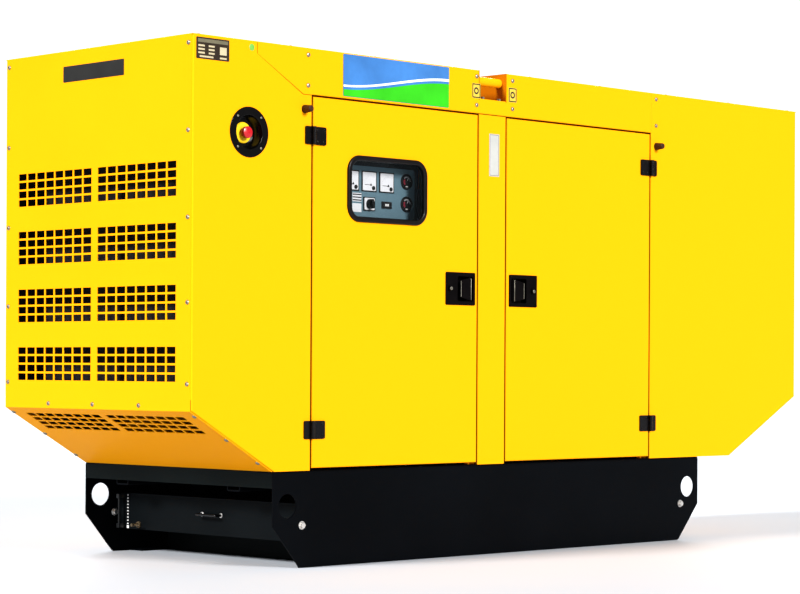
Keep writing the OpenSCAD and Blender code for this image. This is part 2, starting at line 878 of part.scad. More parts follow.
// Base side: plate with folded edges, cut corners without a bottom fold and two sling holes.
module base_side() {
    difference() {
        plate_yz(base_x0, base_x1) translate([-half_w, 0]) difference() {
            pan_side(base_h, base_flange, base_t + fold_r);
            translate([base_t, base_t]) pan_side(base_h - 2 * base_t, base_flange, fold_r);
        }
        plate_xz(-half_w - eps, -half_w + base_flange + eps) {
            polygon([[base_x0 - eps, -eps], [base_x0 + corner_l, -eps], [base_x0 + corner_l, 0],
                [base_x0, corner_h], [base_x0 - eps, corner_h]]);
            polygon([[base_x1 + eps, -eps], [base_x1 - corner_l, -eps], [base_x1 - corner_l, 0],
                [base_x1, corner_h], [base_x1 + eps, corner_h]]);
        }
        for (x = [base_x0, base_x1 - corner_l - base_flange])
            box([x - eps, -half_w + base_t + fold_r, -eps],
            [x + corner_l + base_flange + eps, -half_w + base_flange + eps, base_t + eps]);
        for (x = [base_x0 + sling_x, base_x1 - sling_x])
            translate([x, -half_w - eps, sling_z]) rotate([-90, 0, 0])
                cylinder(r = sling_r, h = base_t + 2 * eps);
    }
}

module end_beam(x, side) {
    inner = half_w - base_t;
    flat = half_w - base_flange;
    box([min(x, x + side * base_t), -inner, base_h - beam_h], [max(x, x + side * base_t), inner, rail_z]);
    box([min(x, x + side * base_flange), -flat, rail_z], [max(x, x + side * base_flange), flat, base_h]);
}

module base_side_front() { color("black") base_side(); }

module base_side_rear() { color("black") mirror([0, 1, 0]) base_side(); }

module base_beams() {
    color("black") {
        end_beam(base_x0, 1);
        end_beam(base_x1, -1);
        for (x = [base_x0 + cross_x, base_x1 - cross_x - base_flange])
            plate_xz(-half_w + base_flange, half_w - base_flange) translate([x, 0]) difference() {
                square([base_flange, cross_h]);
                translate([base_t, -eps]) square([base_flange - 2 * base_t, cross_h - base_t + eps]);
            }
    }
}

// Tank with rounded long edges, hung under the rails by four pads.
module fuel_tank() {
    color("dimgray") {
        plate_yz(tank_x0, tank_x0 + tank_l) translate([0, (tank_z + tank_top) / 2])
            round_rect(canopy_w - 2 * tank_side, tank_top - tank_z, tank_r);
        for (x = [tank_x0 + hanger_in, tank_x0 + tank_l - hanger_in], s = [-1, 1])
            box([x - hanger_l / 2, s * rail_y - rail_w / 2, tank_top - eps],
            [x + hanger_l / 2, s * rail_y + rail_w / 2, rail_z - rail_w]);
    }
}

module tank_handle() {
    color("black") translate([tank_x0, handle_y, tank_z + handle_z]) {
        for (y = [-handle_l / 2, handle_l / 2]) translate([0, y, 0]) {
            rotate([0, -90, 0]) cylinder(r = handle_r, h = handle_out);
            translate([-handle_out, 0, 0]) sphere(handle_r);
        }
        translate([-handle_out, -handle_l / 2, 0]) rotate([-90, 0, 0])
            cylinder(r = handle_r, h = handle_l);
    }
}

// Small block with the upright edges at its front rounded.
module pan_block(d, w, h, r) { linear_extrude(h) pan_side(w, d, r); }

module tank_fittings() {
    y = half_w - tank_side - tank_r - 2 * tube_r;
    low = tank_z + 3 * tube_r;
    high = tank_top - 3 * tube_r;
    color("gray") {
        for (z = [low, high]) translate([tank_x0 - tube_out - 2 * tube_r, y - 2 * tube_r, z - 2 * tube_r])
            pan_block(tube_out + 2 * tube_r, 4 * tube_r, 4 * tube_r, tube_r);
        translate([tank_x0 - tube_out, y, low]) cylinder(r = tube_r, h = high - low);
        translate([tank_x0, y - drain_y, tank_z + tank_r]) rotate([0, -90, 0]) {
            cylinder(r = 2 * drain_r, h = drain_r);
            cylinder(r = drain_r, h = tube_out + 2 * drain_r);
            translate([0, 0, tube_out]) rotate([90, 0, 0]) cylinder(r = drain_r / 2, h = 6 * drain_r);
        }
    }
}

module near_end_panel() { color("gold") end_sheet(near_z); }

module near_slope_panel() { color("gold") slope_sheet(near_run, near_rise); }

module far_end_panel() { color("gold") mirror([1, 0, 0]) end_sheet(far_z); }

module far_slope_panel() {
    color("gold") {
        mirror([1, 0, 0]) slope_sheet(far_run, far_rise);
        box([base_x1, -half_w + sheet, base_h], [half_l - far_run, half_w - sheet, base_h + sheet]);
    }
}

module front_near_panel() { color("gold") near_wall(true); }

module front_far_panel() { color("gold") far_wall(); }

module front_fascia() { color("gold") fascia(); }

module front_post() { color("gold") post(); }

module rear_near_panel() { color("gold") mirror([0, 1, 0]) near_wall(false); }

module rear_far_panel() { color("gold") mirror([0, 1, 0]) far_wall(); }

module rear_fascia() { color("gold") mirror([0, 1, 0]) fascia(); }

module rear_post() { color("gold") mirror([0, 1, 0]) post(); }

module rear_doors() {
    color("gold") mirror([0, 1, 0]) difference() {
        union() {
            door_tray(left_hinge_edge, left_door_w);
            door_tray(right_free_edge, right_door_w);
        }
        latch_pair() latch_hole(-half_w - eps, -half_w + sheet + eps, 0);
    }
}

module rear_door_fittings() {
    color("black") mirror([0, 1, 0]) {
        for (z = hinge_z) {
            hinge_fixed(left_axis, z, 1);
            hinge_moving(left_axis, z, 1);
            hinge_fixed(right_axis, z, -1);
            hinge_moving(right_axis, z, -1);
        }
        latch_pair() {
            latch_case_shape();
            latch_paddle_shape();
        }
    }
}

module roof_panel() {
    color("gold") difference() {
        translate([0, 0, roof_z]) pan_up(canopy_l, canopy_w, sheet, sheet / 2);
        for (s = [-1, 1]) box([post_mid - pocket_w / 2,
            s * (half_w - pocket_d / 2) - pocket_d / 2 - (s < 0 ? eps : 0), roof_z - eps],
            [post_mid + pocket_w / 2, s * (half_w - pocket_d / 2) + pocket_d / 2 + (s > 0 ? eps : 0),
                total_h + eps]);
    }
}

module lifting_points() {
    color("gold") {
        lifting_point();
        mirror([0, 1, 0]) lifting_point();
    }
}

module wall_linings() {
    color("dimgray") {
        lining_near(true);
        lining_far();
        mirror([0, 1, 0]) {
            lining_near(false);
            lining_far();
        }
        box([-half_l + 2 * flange, -half_w + pocket_d + foam, roof_z - foam],
            [half_l - 2 * flange, half_w - pocket_d - foam, roof_z]);
    }
}

module air_baffles() {
    color("dimgray") {
        box([-half_l + 3 * flange, -half_w + foam, near_z],
            [-half_l + 4 * flange, half_w - foam, roof_z - foam]);
        box([half_l - 4 * flange, -half_w + foam, far_z],
            [half_l - 3 * flange, half_w - foam, roof_z - foam]);
    }
}

module door_buffers() {
    color("black") for (m = [0, 1]) mirror([0, m, 0])
        for (x = [left_axis - buffer_x, right_axis + buffer_x])
        translate([x, -half_w, total_h - buffer_top]) rotate([90, 0, 0]) rotate_extrude() {
            polygon([[0, 0], [buffer_r, 0], [buffer_tip_r, buffer_l - buffer_round],
                [buffer_tip_r - buffer_round, buffer_l], [0, buffer_l]]);
            translate([buffer_tip_r - buffer_round, buffer_l - buffer_round]) circle(buffer_round);
        }
}

module fixed_hinge_leaves() {
    color("black") for (z = hinge_z) {
        hinge_fixed(left_axis, z, 1);
        hinge_fixed(right_axis, z, -1);
    }
}

module stop_dish() {
    lip = dish_t / 2;
    color("black") translate([-half_l + stop_x, -half_w, stop_z]) rotate([-90, 0, 0]) {
        rotate_extrude() {
            polygon([[dish_mouth_r + lip, -dish_t], [dish_r - lip, -dish_t], [dish_r - lip, 0],
                [dish_mouth_r + dish_t, 0], [dish_floor_r + dish_t, dish_d],
                [stem_r + stem_gap, dish_d], [stem_r + stem_gap, dish_d - dish_t],
                    [dish_floor_r, dish_d - dish_t], [dish_mouth_r, -lip]]);
            translate([dish_mouth_r + lip, -lip]) circle(lip);
            translate([dish_r - lip, -lip]) circle(lip);
        }
        difference() {
            translate([-contact_w / 2, -contact_w / 2, dish_d]) cube([contact_w, contact_w, contact_l]);
            translate([0, 0, dish_d - eps]) cylinder(r = stem_r + stem_gap, h = contact_l - dish_t);
        }
    }
}

module stop_collar() {
    bevel = collar_t / 2;
    bore = stem_r + stem_gap;
    color("yellow") translate([-half_l + stop_x, -half_w + dish_d - dish_t, stop_z]) rotate([90, 0, 0])
        rotate_extrude() polygon([[bore, 0], [collar_r, 0], [collar_r, collar_t - bevel],
            [collar_r - bevel, collar_t], [bore, collar_t]]);
}

module stop_button() {
    dome_r = (button_r * button_r + button_crown * button_crown) / (2 * button_crown);
    color("red") translate([-half_l + stop_x, -half_w + dish_d - dish_t - collar_t, stop_z])
        rotate([90, 0, 0]) rotate_extrude() {
        intersection() {
            translate([0, button_out - button_t]) square([button_r, button_t]);
            translate([0, button_out - dome_r]) circle(dome_r, $fn = 256);
        }
        translate([0, -collar_t - dish_t - stem_in])
            square([stem_r, button_out + collar_t + dish_t + stem_in - button_t / 2]);
    }
}

module control_box() {
    z0 = panel_z1 - panel_h - 3 * control_margin;
    h = panel_z1 + control_margin - z0;
    color("dimgray") {
        translate([panel_x0 - control_margin, panel_y + panel_t, z0])
            pan(panel_w + 2 * control_margin, h, control_d, fold_out);
        for (x = [panel_x0, panel_x0 + panel_w - leg_w])
            box([x, -rail_y - leg_w / 2, rail_z], [x + leg_w, -rail_y + leg_w / 2, z0 + control_margin]);
    }
}

module instrument_panel() {
    color("lightsteelblue") translate([panel_x0 + panel_w / 2, 0, panel_z1 - panel_h / 2])
        plate_xz(panel_y, panel_y + panel_t) round_rect(panel_w, panel_h, panel_r);
}

module panel_instruments() {
    right = panel_x0 + panel_w;
    meter_x = right - meter_in;
    color("black") {
        for (k = [0 : 2]) translate([meter_x - k * meter_pitch, 0, panel_z1 - meter_top])
            plate_xz(panel_y - meter_t, panel_y) square(meter_w, center = true);
        for (k = [0, 1]) translate([right - gauge_in, panel_y, panel_z1 - gauge_top - k * gauge_pitch])
            rotate([90, 0, 0]) cylinder(r = gauge_r, h = meter_t);
        translate([meter_x, 0, panel_z1 - selector_top]) plate_xz(panel_y - panel_t, panel_y)
            square([selector_h, selector_h / 2], center = true);
        translate([meter_x - meter_pitch, panel_y, panel_z1 - selector_top]) {
            plate_xz(-panel_t, 0) square([selector_w, selector_h], center = true);
            rotate([90, 0, 0]) cylinder(r = knob_r, h = knob_l);
        }
    }
}

// Window opening outline, given by its inset from the outside of the seal.
module window_outline(inset) { translate([window_mid, window_z])
    round_rect(window_w - 2 * inset, window_h - 2 * inset, window_r - inset); }

module left_door() {
    color("gold") difference() {
        door_tray(left_hinge_edge, left_door_w);
        plate_xz(-half_w - eps, -half_w + sheet + eps) window_outline(seal_lap);
        translate([latch_x(left_free_edge, 1), 0, 0]) latch_hole(-half_w - eps, -half_w + sheet + eps, 0);
    }
}

module left_door_lining() {
    color("dimgray") difference() {
        door_foam(left_hinge_edge, left_door_w);
        plate_xz(-half_w, -half_w + door_d + eps) window_outline(-seal_lap);
        translate([latch_x(left_free_edge, 1), 0, 0]) latch_hole(-half_w, -half_w + door_d + eps, sheet);
    }
}

// Section of the window seal: two round lips and a web, with the groove for the pane, from the inner
// edge outwards.
module seal_section() {
    mid = sheet / 2;
    difference() {
        union() {
            translate([0, -seal_t]) pan_section(seal_w, seal_t, seal_r);
            square([seal_w - seal_lap - pane_gap, sheet]);
            translate([0, sheet + seal_t]) mirror([0, 1]) pan_section(seal_w, seal_t, seal_r);
        }
        translate([-eps, mid - pane_t / 2 - pane_gap])
            square([pane_lap + pane_gap + eps, pane_t + 2 * pane_gap]);
    }
}

module window_seal() {
    run_w = window_w / 2 - window_r;
    run_h = window_h / 2 - window_r;
    color("black") translate([window_mid, -half_w, window_z]) for (turn = [0, 180]) rotate([0, turn, 0]) {
        translate([0, 0, window_h / 2 - seal_w]) plate_yz(-run_w, run_w) mirror([1, -1, 0])
            seal_section();
        translate([window_w / 2 - seal_w, 0, -run_h]) linear_extrude(2 * run_h) seal_section();
        for (s = [-1, 1]) translate([run_w, 0, s * run_h]) rotate([-90, 0, 0])
            rotate([0, 0, s > 0 ? -90 : 0])
            rotate_extrude(angle = 90) translate([window_r - seal_w, 0]) seal_section();
    }
}

module window_pane() {
    mid = -half_w + sheet / 2;
    color("lightblue") plate_xz(mid - pane_t / 2, mid + pane_t / 2) window_outline(seal_w - pane_lap);
}

module left_hinge_leaves() { color("black") for (z = hinge_z) hinge_moving(left_axis, z, 1); }

module left_latch_case() { color("black") translate([latch_x(left_free_edge, 1), 0, 0])
    latch_case_shape(); }

module left_latch_paddle() { color("black") translate([latch_x(left_free_edge, 1), 0, 0])
    latch_paddle_shape(); }

module right_door() {
    color("gold") difference() {
        door_tray(right_free_edge, right_door_w);
        translate([latch_x(right_free_edge, -1), 0, 0]) mirror([1, 0, 0])
            latch_hole(-half_w - eps, -half_w + sheet + eps, 0);
    }
}

module right_door_lining() {
    color("dimgray") difference() {
        door_foam(right_free_edge, right_door_w);
        translate([latch_x(right_free_edge, -1), 0, 0]) mirror([1, 0, 0])
            latch_hole(-half_w, -half_w + door_d + eps, sheet);
    }
}

module right_hinge_leaves() { color("black") for (z = hinge_z) hinge_moving(right_axis, z, -1); }

module right_latch_case() { color("black") translate([latch_x(right_free_edge, -1), 0, 0])
    mirror([1, 0, 0]) latch_case_shape(); }

module right_latch_paddle() { color("black") translate([latch_x(right_free_edge, -1), 0, 0])
    mirror([1, 0, 0]) latch_paddle_shape(); }

module chassis_rails() {
    color("dimgray") for (s = [-1, 1]) plate_yz(base_x0 + base_t, base_x1 - base_t)
        translate([s * rail_y, rail_z - rail_w / 2]) difference() {
        round_rect(rail_w, rail_w, rail_t + fold_r);
        round_rect(rail_w - 2 * rail_t, rail_w - 2 * rail_t, fold_r);
    }
}

module rubber_mounts() {
    color("black") for (x = [alt_x0 + alternator_l / 2, block_x1 - housing_l], s = [-1, 1])
        translate([x, s * rail_y, rail_z]) cylinder(r = mount_r, h = mount_h);
}

// Foot bracket reaching both rubber mounts under a casing.
module feet(x) {
    box([x - housing_l / 2, -rail_y - mount_r, foot_z],
        [x + housing_l / 2, rail_y + mount_r, foot_z + base_t * 2]);
}

module alternator() {
    frame_r = alternator_r - fin_h;
    mid = alt_x0 + alternator_l / 2;
    color("silver") {
        along_x(alt_x0, shaft_z) difference() {
            union() {
                rotate_extrude() {
                    intersection() {
                        square([frame_r, cover_l + casting_r]);
                        translate([frame_r - cover_l, cover_l]) union() {
                            circle(cover_l);
                            translate([-frame_r, -cover_l]) square([frame_r, 2 * cover_l]);
                            translate([-frame_r, 0]) square([frame_r + cover_l, cover_l]);
                        }
                    }
                    translate([0, cover_l]) square([frame_r, alternator_l - cover_l]);
                    translate([0, alternator_l - casing_flange]) square([alternator_r, casing_flange]);
                }
                for (k = [0 : fin_count - 1]) rotate((k + 1 / 2) * 360 / fin_count)
                    translate([frame_r - fin_h, -fin_t / 2, cover_l + casting_r])
                    cube([2 * fin_h, fin_t, alternator_l - 2 * cover_l - casting_r]);
            }
            for (k = [0 : window_count - 1]) rotate((k + 1 / 2) * 360 / window_count)
                translate([frame_r - cover_l, -casting_r / 2, -eps])
                cube([cover_l / 2, casting_r, casting_r + eps]);
        }
        translate([mid, 0, shaft_z + frame_r / 2]) linear_extrude(frame_r / 2 + fin_h + terminal_h)
            square([terminal_l - 2 * casting_r, terminal_w - 2 * casting_r], center = true);
        translate([mid, 0, shaft_z + alternator_r])
            pan_up(terminal_l, terminal_w, terminal_h, casting_r / 2);
        feet(mid);
        for (s = [-1, 1]) box([mid - housing_l / 2, s * alternator_r / 2 - base_t, foot_z],
            [mid + housing_l / 2, s * alternator_r / 2 + base_t, shaft_z]);
    }
}

module engine_block() {
    mount_x = block_x1 - housing_l;
    pan_z = shaft_z - block_d;
    side_y = -block_w / 2;
    color("slategray") {
        along_x(alt_x1, shaft_z) rotate_extrude()
            polygon([[0, 0], [housing_r, 0], [housing_r, casing_flange],
            [housing_r - casting_r, casing_flange], [block_w / 2 + casing_flange, housing_l],
                [0, housing_l]]);
        plate_yz(block_x0, block_x1) mirror([1, -1, 0])
            polygon(mirrored([[pan_z, block_w / 2 + rib_t], [pan_z + rib_t, block_w / 2 + rib_t],
            [pan_z + rib_t, block_w / 2], [shaft_z, block_w / 2], [shaft_z + 2 * casting_r, head_w / 2],
                [block_top, head_w / 2]]));
        for (k = [0 : cylinders])
            box([block_x0 + k * (block_l - rib_t) / cylinders, side_y + rib_t, pan_z + rib_t],
            [block_x0 + k * (block_l - rib_t) / cylinders + rib_t, -side_y - rib_t,
                block_top - casting_r]);
        plate_yz(block_x0 + casting_r, block_x0 + block_l / 2) translate([-head_w / 2, pan_z - sump_d])
            pan_section(head_w, sump_d, casting_r);
        plate_yz(block_x0 + block_l / 2, block_x1 - casting_r)
            translate([-head_w / 2, pan_z - sump_d / 2]) pan_section(head_w, sump_d / 2, casting_r);
        feet(mount_x);
        for (s = [-1, 1]) box([mount_x - housing_l / 2, s * (block_w / 2 - 2 * base_t) - base_t, foot_z],
            [mount_x + housing_l / 2, s * (block_w / 2 - 2 * base_t) + base_t, shaft_z]);
        for (z = [shaft_z, fan_z]) along_x(block_x1, z)
            cylinder(r = pulley_r, h = fan_gap / 2 + belt_w / 2);
        along_x(block_x1, fan_z) cylinder(r = pulley_r / 2, h = fan_gap);
        translate([0, 0, shaft_z])
            plate_yz(block_x1 + fan_gap / 2 - belt_w / 2, block_x1 + fan_gap / 2 + belt_w / 2)
            difference() {
            belt_outline(pulley_r + belt_t);
            belt_outline(pulley_r);
        }
        translate([block_x0 - housing_l / 3, side_y, shaft_z - starter_r]) rotate([0, 90, 0])
            rounded_barrel(starter_r, starter_l, starter_r / 3);
        translate([block_x0 + block_l / 2, side_y - pump_r / 3, shaft_z + block_h / 2]) rotate([0, 90, 0])
            rounded_barrel(pump_r, pump_l, pump_r / 3);
        for (k = [1 : cylinders])
            translate([block_x0 + block_l / 2 + k * pump_l / (cylinders + 1), side_y - pump_r / 3,
            shaft_z + block_h / 2])
            cylinder(r = pump_r / 4, h = 2 * pump_r);
        for (k = [1, 2]) {
            x = block_x0 + k * cylinder_pitch;
            translate([x, side_y - filter_r, shaft_z - filter_l / 2])
                rounded_barrel(filter_r, filter_l, filter_r / 3);
            box([x - filter_r / 2, side_y - filter_r, shaft_z + filter_l / 2 - filter_r],
                [x + filter_r / 2, side_y + rib_t, shaft_z + filter_l / 2]);
        }
    }
}

// Loop round the two pulleys, from the lower one at the origin.
module belt_outline(r) {
    circle(r);
    translate([0, fan_up]) circle(r);
    translate([-r, 0]) square([2 * r, fan_up]);
}

// Upright barrel with its two rims rounded.
module rounded_barrel(r, l, rim) {
    rotate_extrude() {
        square([r - rim, l]);
        translate([0, rim]) square([r, l - 2 * rim]);
        for (z = [rim, l - rim]) translate([r - rim, z]) circle(rim);
    }
}

module cylinder_head() {
    inlet_y = -head_w / 2 - inlet_r - rib_t;
    color("slategray") {
        box([block_x0, -head_w / 2, block_top], [block_x1, head_w / 2, head_top]);
        for (k = [0 : cylinders - 1]) translate([block_x0 + (k + 1 / 2) * cylinder_pitch, 0, head_top])
            pan_up(cylinder_pitch - rib_t, head_w * 2 / 3, cover_h, casting_r / 2);
        translate([block_x0 + rib_t, inlet_y, head_top - inlet_r]) rotate([0, 90, 0])
            rounded_barrel(inlet_r, block_l - 2 * rib_t, inlet_r / 2);
        for (k = [0 : cylinders - 1])
            translate([block_x0 + (k + 1 / 2) * cylinder_pitch, inlet_y, head_top - inlet_r])
            rotate([-90, 0, 0]) cylinder(r = inlet_r * 2 / 3, h = 2 * inlet_r + rib_t);
    }
}

module cooling_fan() {
    root = hub_r * 2 / 3;
    color("dimgray") along_x(fan_x, fan_z) intersection() {
        union() {
            cylinder(r = hub_r, h = fan_l);
            for (k = [0 : fan_blades - 1]) rotate(k * 360 / fan_blades) translate([0, 0, fan_l / 2])
                rotate([blade_pitch, 0, 0]) linear_extrude(sheet, center = true)
                polygon(mirrored([[0, root / 2], [root, root / 2], [fan_r, root * 2 / 3],
                    [fan_r + fan_ring_gap, root * 2 / 3]]));
        }
        cylinder(r = fan_r, h = fan_l);
    }
}

module radiator() {
    top = rail_z + radiator_h;
    core_t = radiator_t / 2;
    ring_r = fan_r + fan_ring_gap;
    color("dimgray") {
        for (s = [-1, 1]) translate([radiator_x, s * (radiator_w - radiator_post) / 2 - radiator_post / 2,
            rail_z]) pan_block(radiator_t, radiator_post, radiator_h, fold_out);
        box([radiator_x + core_t / 2, -radiator_w / 2 + radiator_post, rail_z],
            [radiator_x + radiator_t - core_t / 2, radiator_w / 2 - radiator_post, top]);
        for (z = [rail_z, top - radiator_tank]) translate([0, -radiator_w / 2 + radiator_post, z])
            rotate([-90, 0, 0]) linear_extrude(radiator_w - 2 * radiator_post)
            translate([radiator_x + radiator_t / 2, -radiator_tank / 2])
                round_rect(radiator_t, radiator_tank, casting_r);
        difference() {
            union() {
                plate_yz(radiator_x - sheet, radiator_x) translate([0, fan_z])
                    square(2 * (fan_r + fan_gap), center = true);
                along_x(fan_x, fan_z) cylinder(r = ring_r + sheet, h = radiator_x - fan_x);
            }
            along_x(fan_x - eps, fan_z) cylinder(r = ring_r, h = radiator_x - fan_x + 2 * eps);
        }
    }
}

module exhaust_silencer() {
    port_l = inlet_r + rib_t;
    y = head_w / 2 + port_l;
    pipe_z = block_top + head_h / 2;
    mid = block_x0 + block_l / 2;
    silencer_y = head_w / 3 + silencer_r + pipe_r / 2;
    z = head_top + silencer_r + pipe_r / 2;
    color("silver") {
        translate([block_x0 + rib_t, y, pipe_z]) rotate([0, 90, 0])
            rounded_barrel(pipe_r, block_l - 2 * rib_t, pipe_r / 2);
        for (k = [0 : cylinders - 1])
            translate([block_x0 + (k + 1 / 2) * cylinder_pitch, head_w / 2, pipe_z]) rotate([-90, 0, 0])
            cylinder(r = pipe_r * 2 / 3, h = port_l);
        translate([mid, y, pipe_z]) cylinder(r = pipe_r - sheet, h = z - pipe_z);
        for (k = [0 : 2]) translate([mid, y, pipe_z + pipe_r + (k + 1 / 2) * pipe_r / 2]) rotate_extrude()
            translate([pipe_r - sheet, 0]) circle(pipe_r / 4);
        translate([mid - silencer_half, silencer_y, z]) rotate([0, 90, 0])
            rounded_barrel(silencer_r, 2 * silencer_half, silencer_end);
        along_x(mid, z) translate([0, silencer_y, 0])
            cylinder(r = pipe_r, h = silencer_half + 2 * pipe_r);
    }
}

base_side_front();
base_side_rear();
base_beams();
fuel_tank();
tank_handle();
tank_fittings();
near_end_panel();
near_slope_panel();
far_end_panel();
far_slope_panel();
front_near_panel();
front_far_panel();
front_fascia();
front_post();
rear_near_panel();
rear_far_panel();
rear_fascia();
rear_post();
rear_doors();
rear_door_fittings();
roof_panel();
lifting_points();
wall_linings();
air_baffles();
door_buffers();
fixed_hinge_leaves();
stop_dish();
stop_collar();
stop_button();
control_box();
instrument_panel();
panel_instruments();
left_door();
left_door_lining();
window_seal();
window_pane();
left_hinge_leaves();
left_latch_case();
left_latch_paddle();
right_door();
right_door_lining();
right_hinge_leaves();
right_latch_case();
right_latch_paddle();
chassis_rails();
rubber_mounts();
alternator();
engine_block();
cylinder_head();
cooling_fan();
radiator();
exhaust_silencer();
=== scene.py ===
from math import pi, radians, sqrt, tau
import bmesh
import bpy
import numpy as np
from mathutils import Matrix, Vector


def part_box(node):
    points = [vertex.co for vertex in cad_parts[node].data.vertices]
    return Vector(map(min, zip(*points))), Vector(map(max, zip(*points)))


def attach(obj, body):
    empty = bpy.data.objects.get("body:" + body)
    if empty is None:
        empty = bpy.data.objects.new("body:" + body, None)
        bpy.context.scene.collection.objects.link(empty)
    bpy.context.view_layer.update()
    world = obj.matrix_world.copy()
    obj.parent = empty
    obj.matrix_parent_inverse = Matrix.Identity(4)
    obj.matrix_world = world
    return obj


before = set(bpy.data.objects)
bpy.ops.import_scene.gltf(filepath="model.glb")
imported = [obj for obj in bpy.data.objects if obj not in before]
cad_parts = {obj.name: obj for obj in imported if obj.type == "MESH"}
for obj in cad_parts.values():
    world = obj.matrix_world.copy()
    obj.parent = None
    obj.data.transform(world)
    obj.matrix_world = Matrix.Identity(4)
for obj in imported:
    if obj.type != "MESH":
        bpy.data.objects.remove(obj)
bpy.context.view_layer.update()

PHOTO_WIDTH, PHOTO_HEIGHT = 800, 594
FOCAL_PIXELS = 2420.4
HORIZON_ROW = 366.9
SENSOR_WIDTH = 36.0
VIEWPOINT = (-6.839, -6.695, 0.697)
VIEW_PITCH, VIEW_ROLL, VIEW_TURN = 90.0, -0.286, -44.818
camera = bpy.data.cameras.new("camera")
camera.sensor_width = SENSOR_WIDTH
camera.lens = SENSOR_WIDTH * FOCAL_PIXELS / PHOTO_WIDTH
camera.shift_y = (HORIZON_ROW - PHOTO_HEIGHT / 2) / PHOTO_WIDTH
viewpoint = bpy.data.objects.new("camera", camera)
viewpoint.location = VIEWPOINT
viewpoint.rotation_euler = (radians(VIEW_PITCH), radians(VIEW_ROLL), radians(VIEW_TURN))
bpy.context.collection.objects.link(viewpoint)
bpy.context.scene.camera = viewpoint
bpy.context.scene.view_settings.view_transform = "Standard"
bpy.context.scene.view_settings.look = "Medium High Contrast"

# Studio. A pale seamless floor in front of a white backdrop, with broad lamps
# before the control side and the inlet end and a third one behind.
FLOOR_HALF = 40.0
FLOOR_GREY = (0.495, 0.524, 0.565, 1.0)
FLOOR_ROUGH, FLOOR_GLOSS = 0.9, 0.1
BACKDROP_WHITE = (1.0, 1.0, 1.0, 1.0)
SKY_LIGHT = 0.28
FRONT_LAMP = ((0.03, -0.92, 0.38), 3.97, 18.0)
END_LAMP = ((-0.86, 0.10, 0.52), 4.35, 14.0)
BACK_LAMP = ((0.66, 0.70, 0.25), 3.75, 40.0)
SHARP_ANGLE = radians(35.0)
JOIN = 1e-6


def sheet_mesh(name, points, round_u=False, round_v=False):
    """A surface from one or more grids of points: neighbours along both
    directions of a grid are joined into quads, a round direction joins its
    last row to its first, and points at one place become one point."""
    nu, nv = points.shape[-3:-1]
    copies = points.reshape(-1, nu * nv, 3)
    i = np.arange(nu if round_u else nu - 1)[:, None]
    j = np.arange(nv if round_v else nv - 1)[None, :]
    near, far = i * nv, (i + 1) % nu * nv
    corners = [near + j, far + j, far + (j + 1) % nv, near + (j + 1) % nv]
    quads = np.stack(np.broadcast_arrays(*corners), -1).reshape(-1, 4)
    faces = quads + nu * nv * np.arange(len(copies))[:, None, None]
    mesh = bpy.data.meshes.new(name)
    mesh.from_pydata(copies.reshape(-1, 3).tolist(), [], faces.reshape(-1, 4).tolist())
    shell = bmesh.new()
    shell.from_mesh(mesh)
    bmesh.ops.remove_doubles(shell, verts=shell.verts, dist=JOIN)
    bmesh.ops.recalc_face_normals(shell, faces=shell.faces)
    shell.to_mesh(mesh)
    shell.free()
    mesh.polygons.foreach_set("use_smooth", np.ones(len(mesh.polygons), bool))
    mesh.set_sharp_from_angle(angle=SHARP_ANGLE)
    made = bpy.data.objects.new(name, mesh)
    bpy.context.collection.objects.link(made)
    return made


def coat(name, colour, roughness, gloss=0.5, metallic=0.0):
    """A new material: itself, its node tree, its shader and Object coordinates."""
    made = bpy.data.materials.new(name)
    made.use_nodes = True
    tree = made.node_tree
    shader = tree.nodes["Principled BSDF"]
    shader.inputs["Base Color"].default_value = colour
    shader.inputs["Roughness"].default_value = roughness
    shader.inputs["Metallic"].default_value = metallic
    shader.inputs["Specular IOR Level"].default_value = gloss
    place = tree.nodes.new("ShaderNodeTexCoord").outputs["Object"]
    return made, tree, shader, place


side = np.array([-FLOOR_HALF, FLOOR_HALF])
floor = sheet_mesh("floor", np.stack(np.meshgrid(side, side, [0.0], indexing="ij"), -1)[:, :, 0])
floor_paint, *_ = coat("floor_paint", FLOOR_GREY, FLOOR_ROUGH, FLOOR_GLOSS)
floor.data.materials.append(floor_paint)

sky = bpy.data.worlds.new("sky")
sky.use_nodes = True
nodes, links = sky.node_tree.nodes, sky.node_tree.links
backdrop, light = nodes["Background"], nodes.new("ShaderNodeBackground")
backdrop.inputs["Color"].default_value = light.inputs["Color"].default_value = BACKDROP_WHITE
light.inputs["Strength"].default_value = SKY_LIGHT
ray, either = nodes.new("ShaderNodeLightPath"), nodes.new("ShaderNodeMixShader")
links.new(ray.outputs["Is Camera Ray"], either.inputs["Fac"])
links.new(light.outputs["Background"], either.inputs[1])
links.new(backdrop.outputs["Background"], either.inputs[2])
links.new(either.outputs["Shader"], nodes["World Output"].inputs["Surface"])
bpy.context.scene.world = sky


def far_lamp(name, towards, strength, width):
    """A far soft lamp: even light from one direction, as wide as an angle."""
    lamp = bpy.data.lights.new(name, "SUN")
    lamp.energy, lamp.angle = strength, radians(width)
    holder = bpy.data.objects.new(name, lamp)
    x, y, z = towards
    holder.rotation_euler = (np.arctan2(sqrt(x ** 2 + y ** 2), z), 0.0, np.arctan2(y, x) + pi / 2)
    bpy.context.collection.objects.link(holder)


far_lamp("front_lamp", *FRONT_LAMP)
far_lamp("end_lamp", *END_LAMP)
far_lamp("back_lamp", *BACK_LAMP)

# Base frame. Folded steel sides joined by channel beams, with the rails that
# carry the set, welded together and sprayed satin black.
BASE_BLACK = (0.0019, 0.0025, 0.0036, 1.0)
# The beams' black is lighter than the sides' as painted light, for the end lamp's light on them.
BEAM_LIT_BLACK = (0.0046, 0.0068, 0.0070, 1.0)
RAMP_LOW, RAMP_HIGH = 0.3, 0.7
ROUGH_LOW, ROUGH_HIGH = 0.85, 1.15
GRIT_DETAIL = 2.0


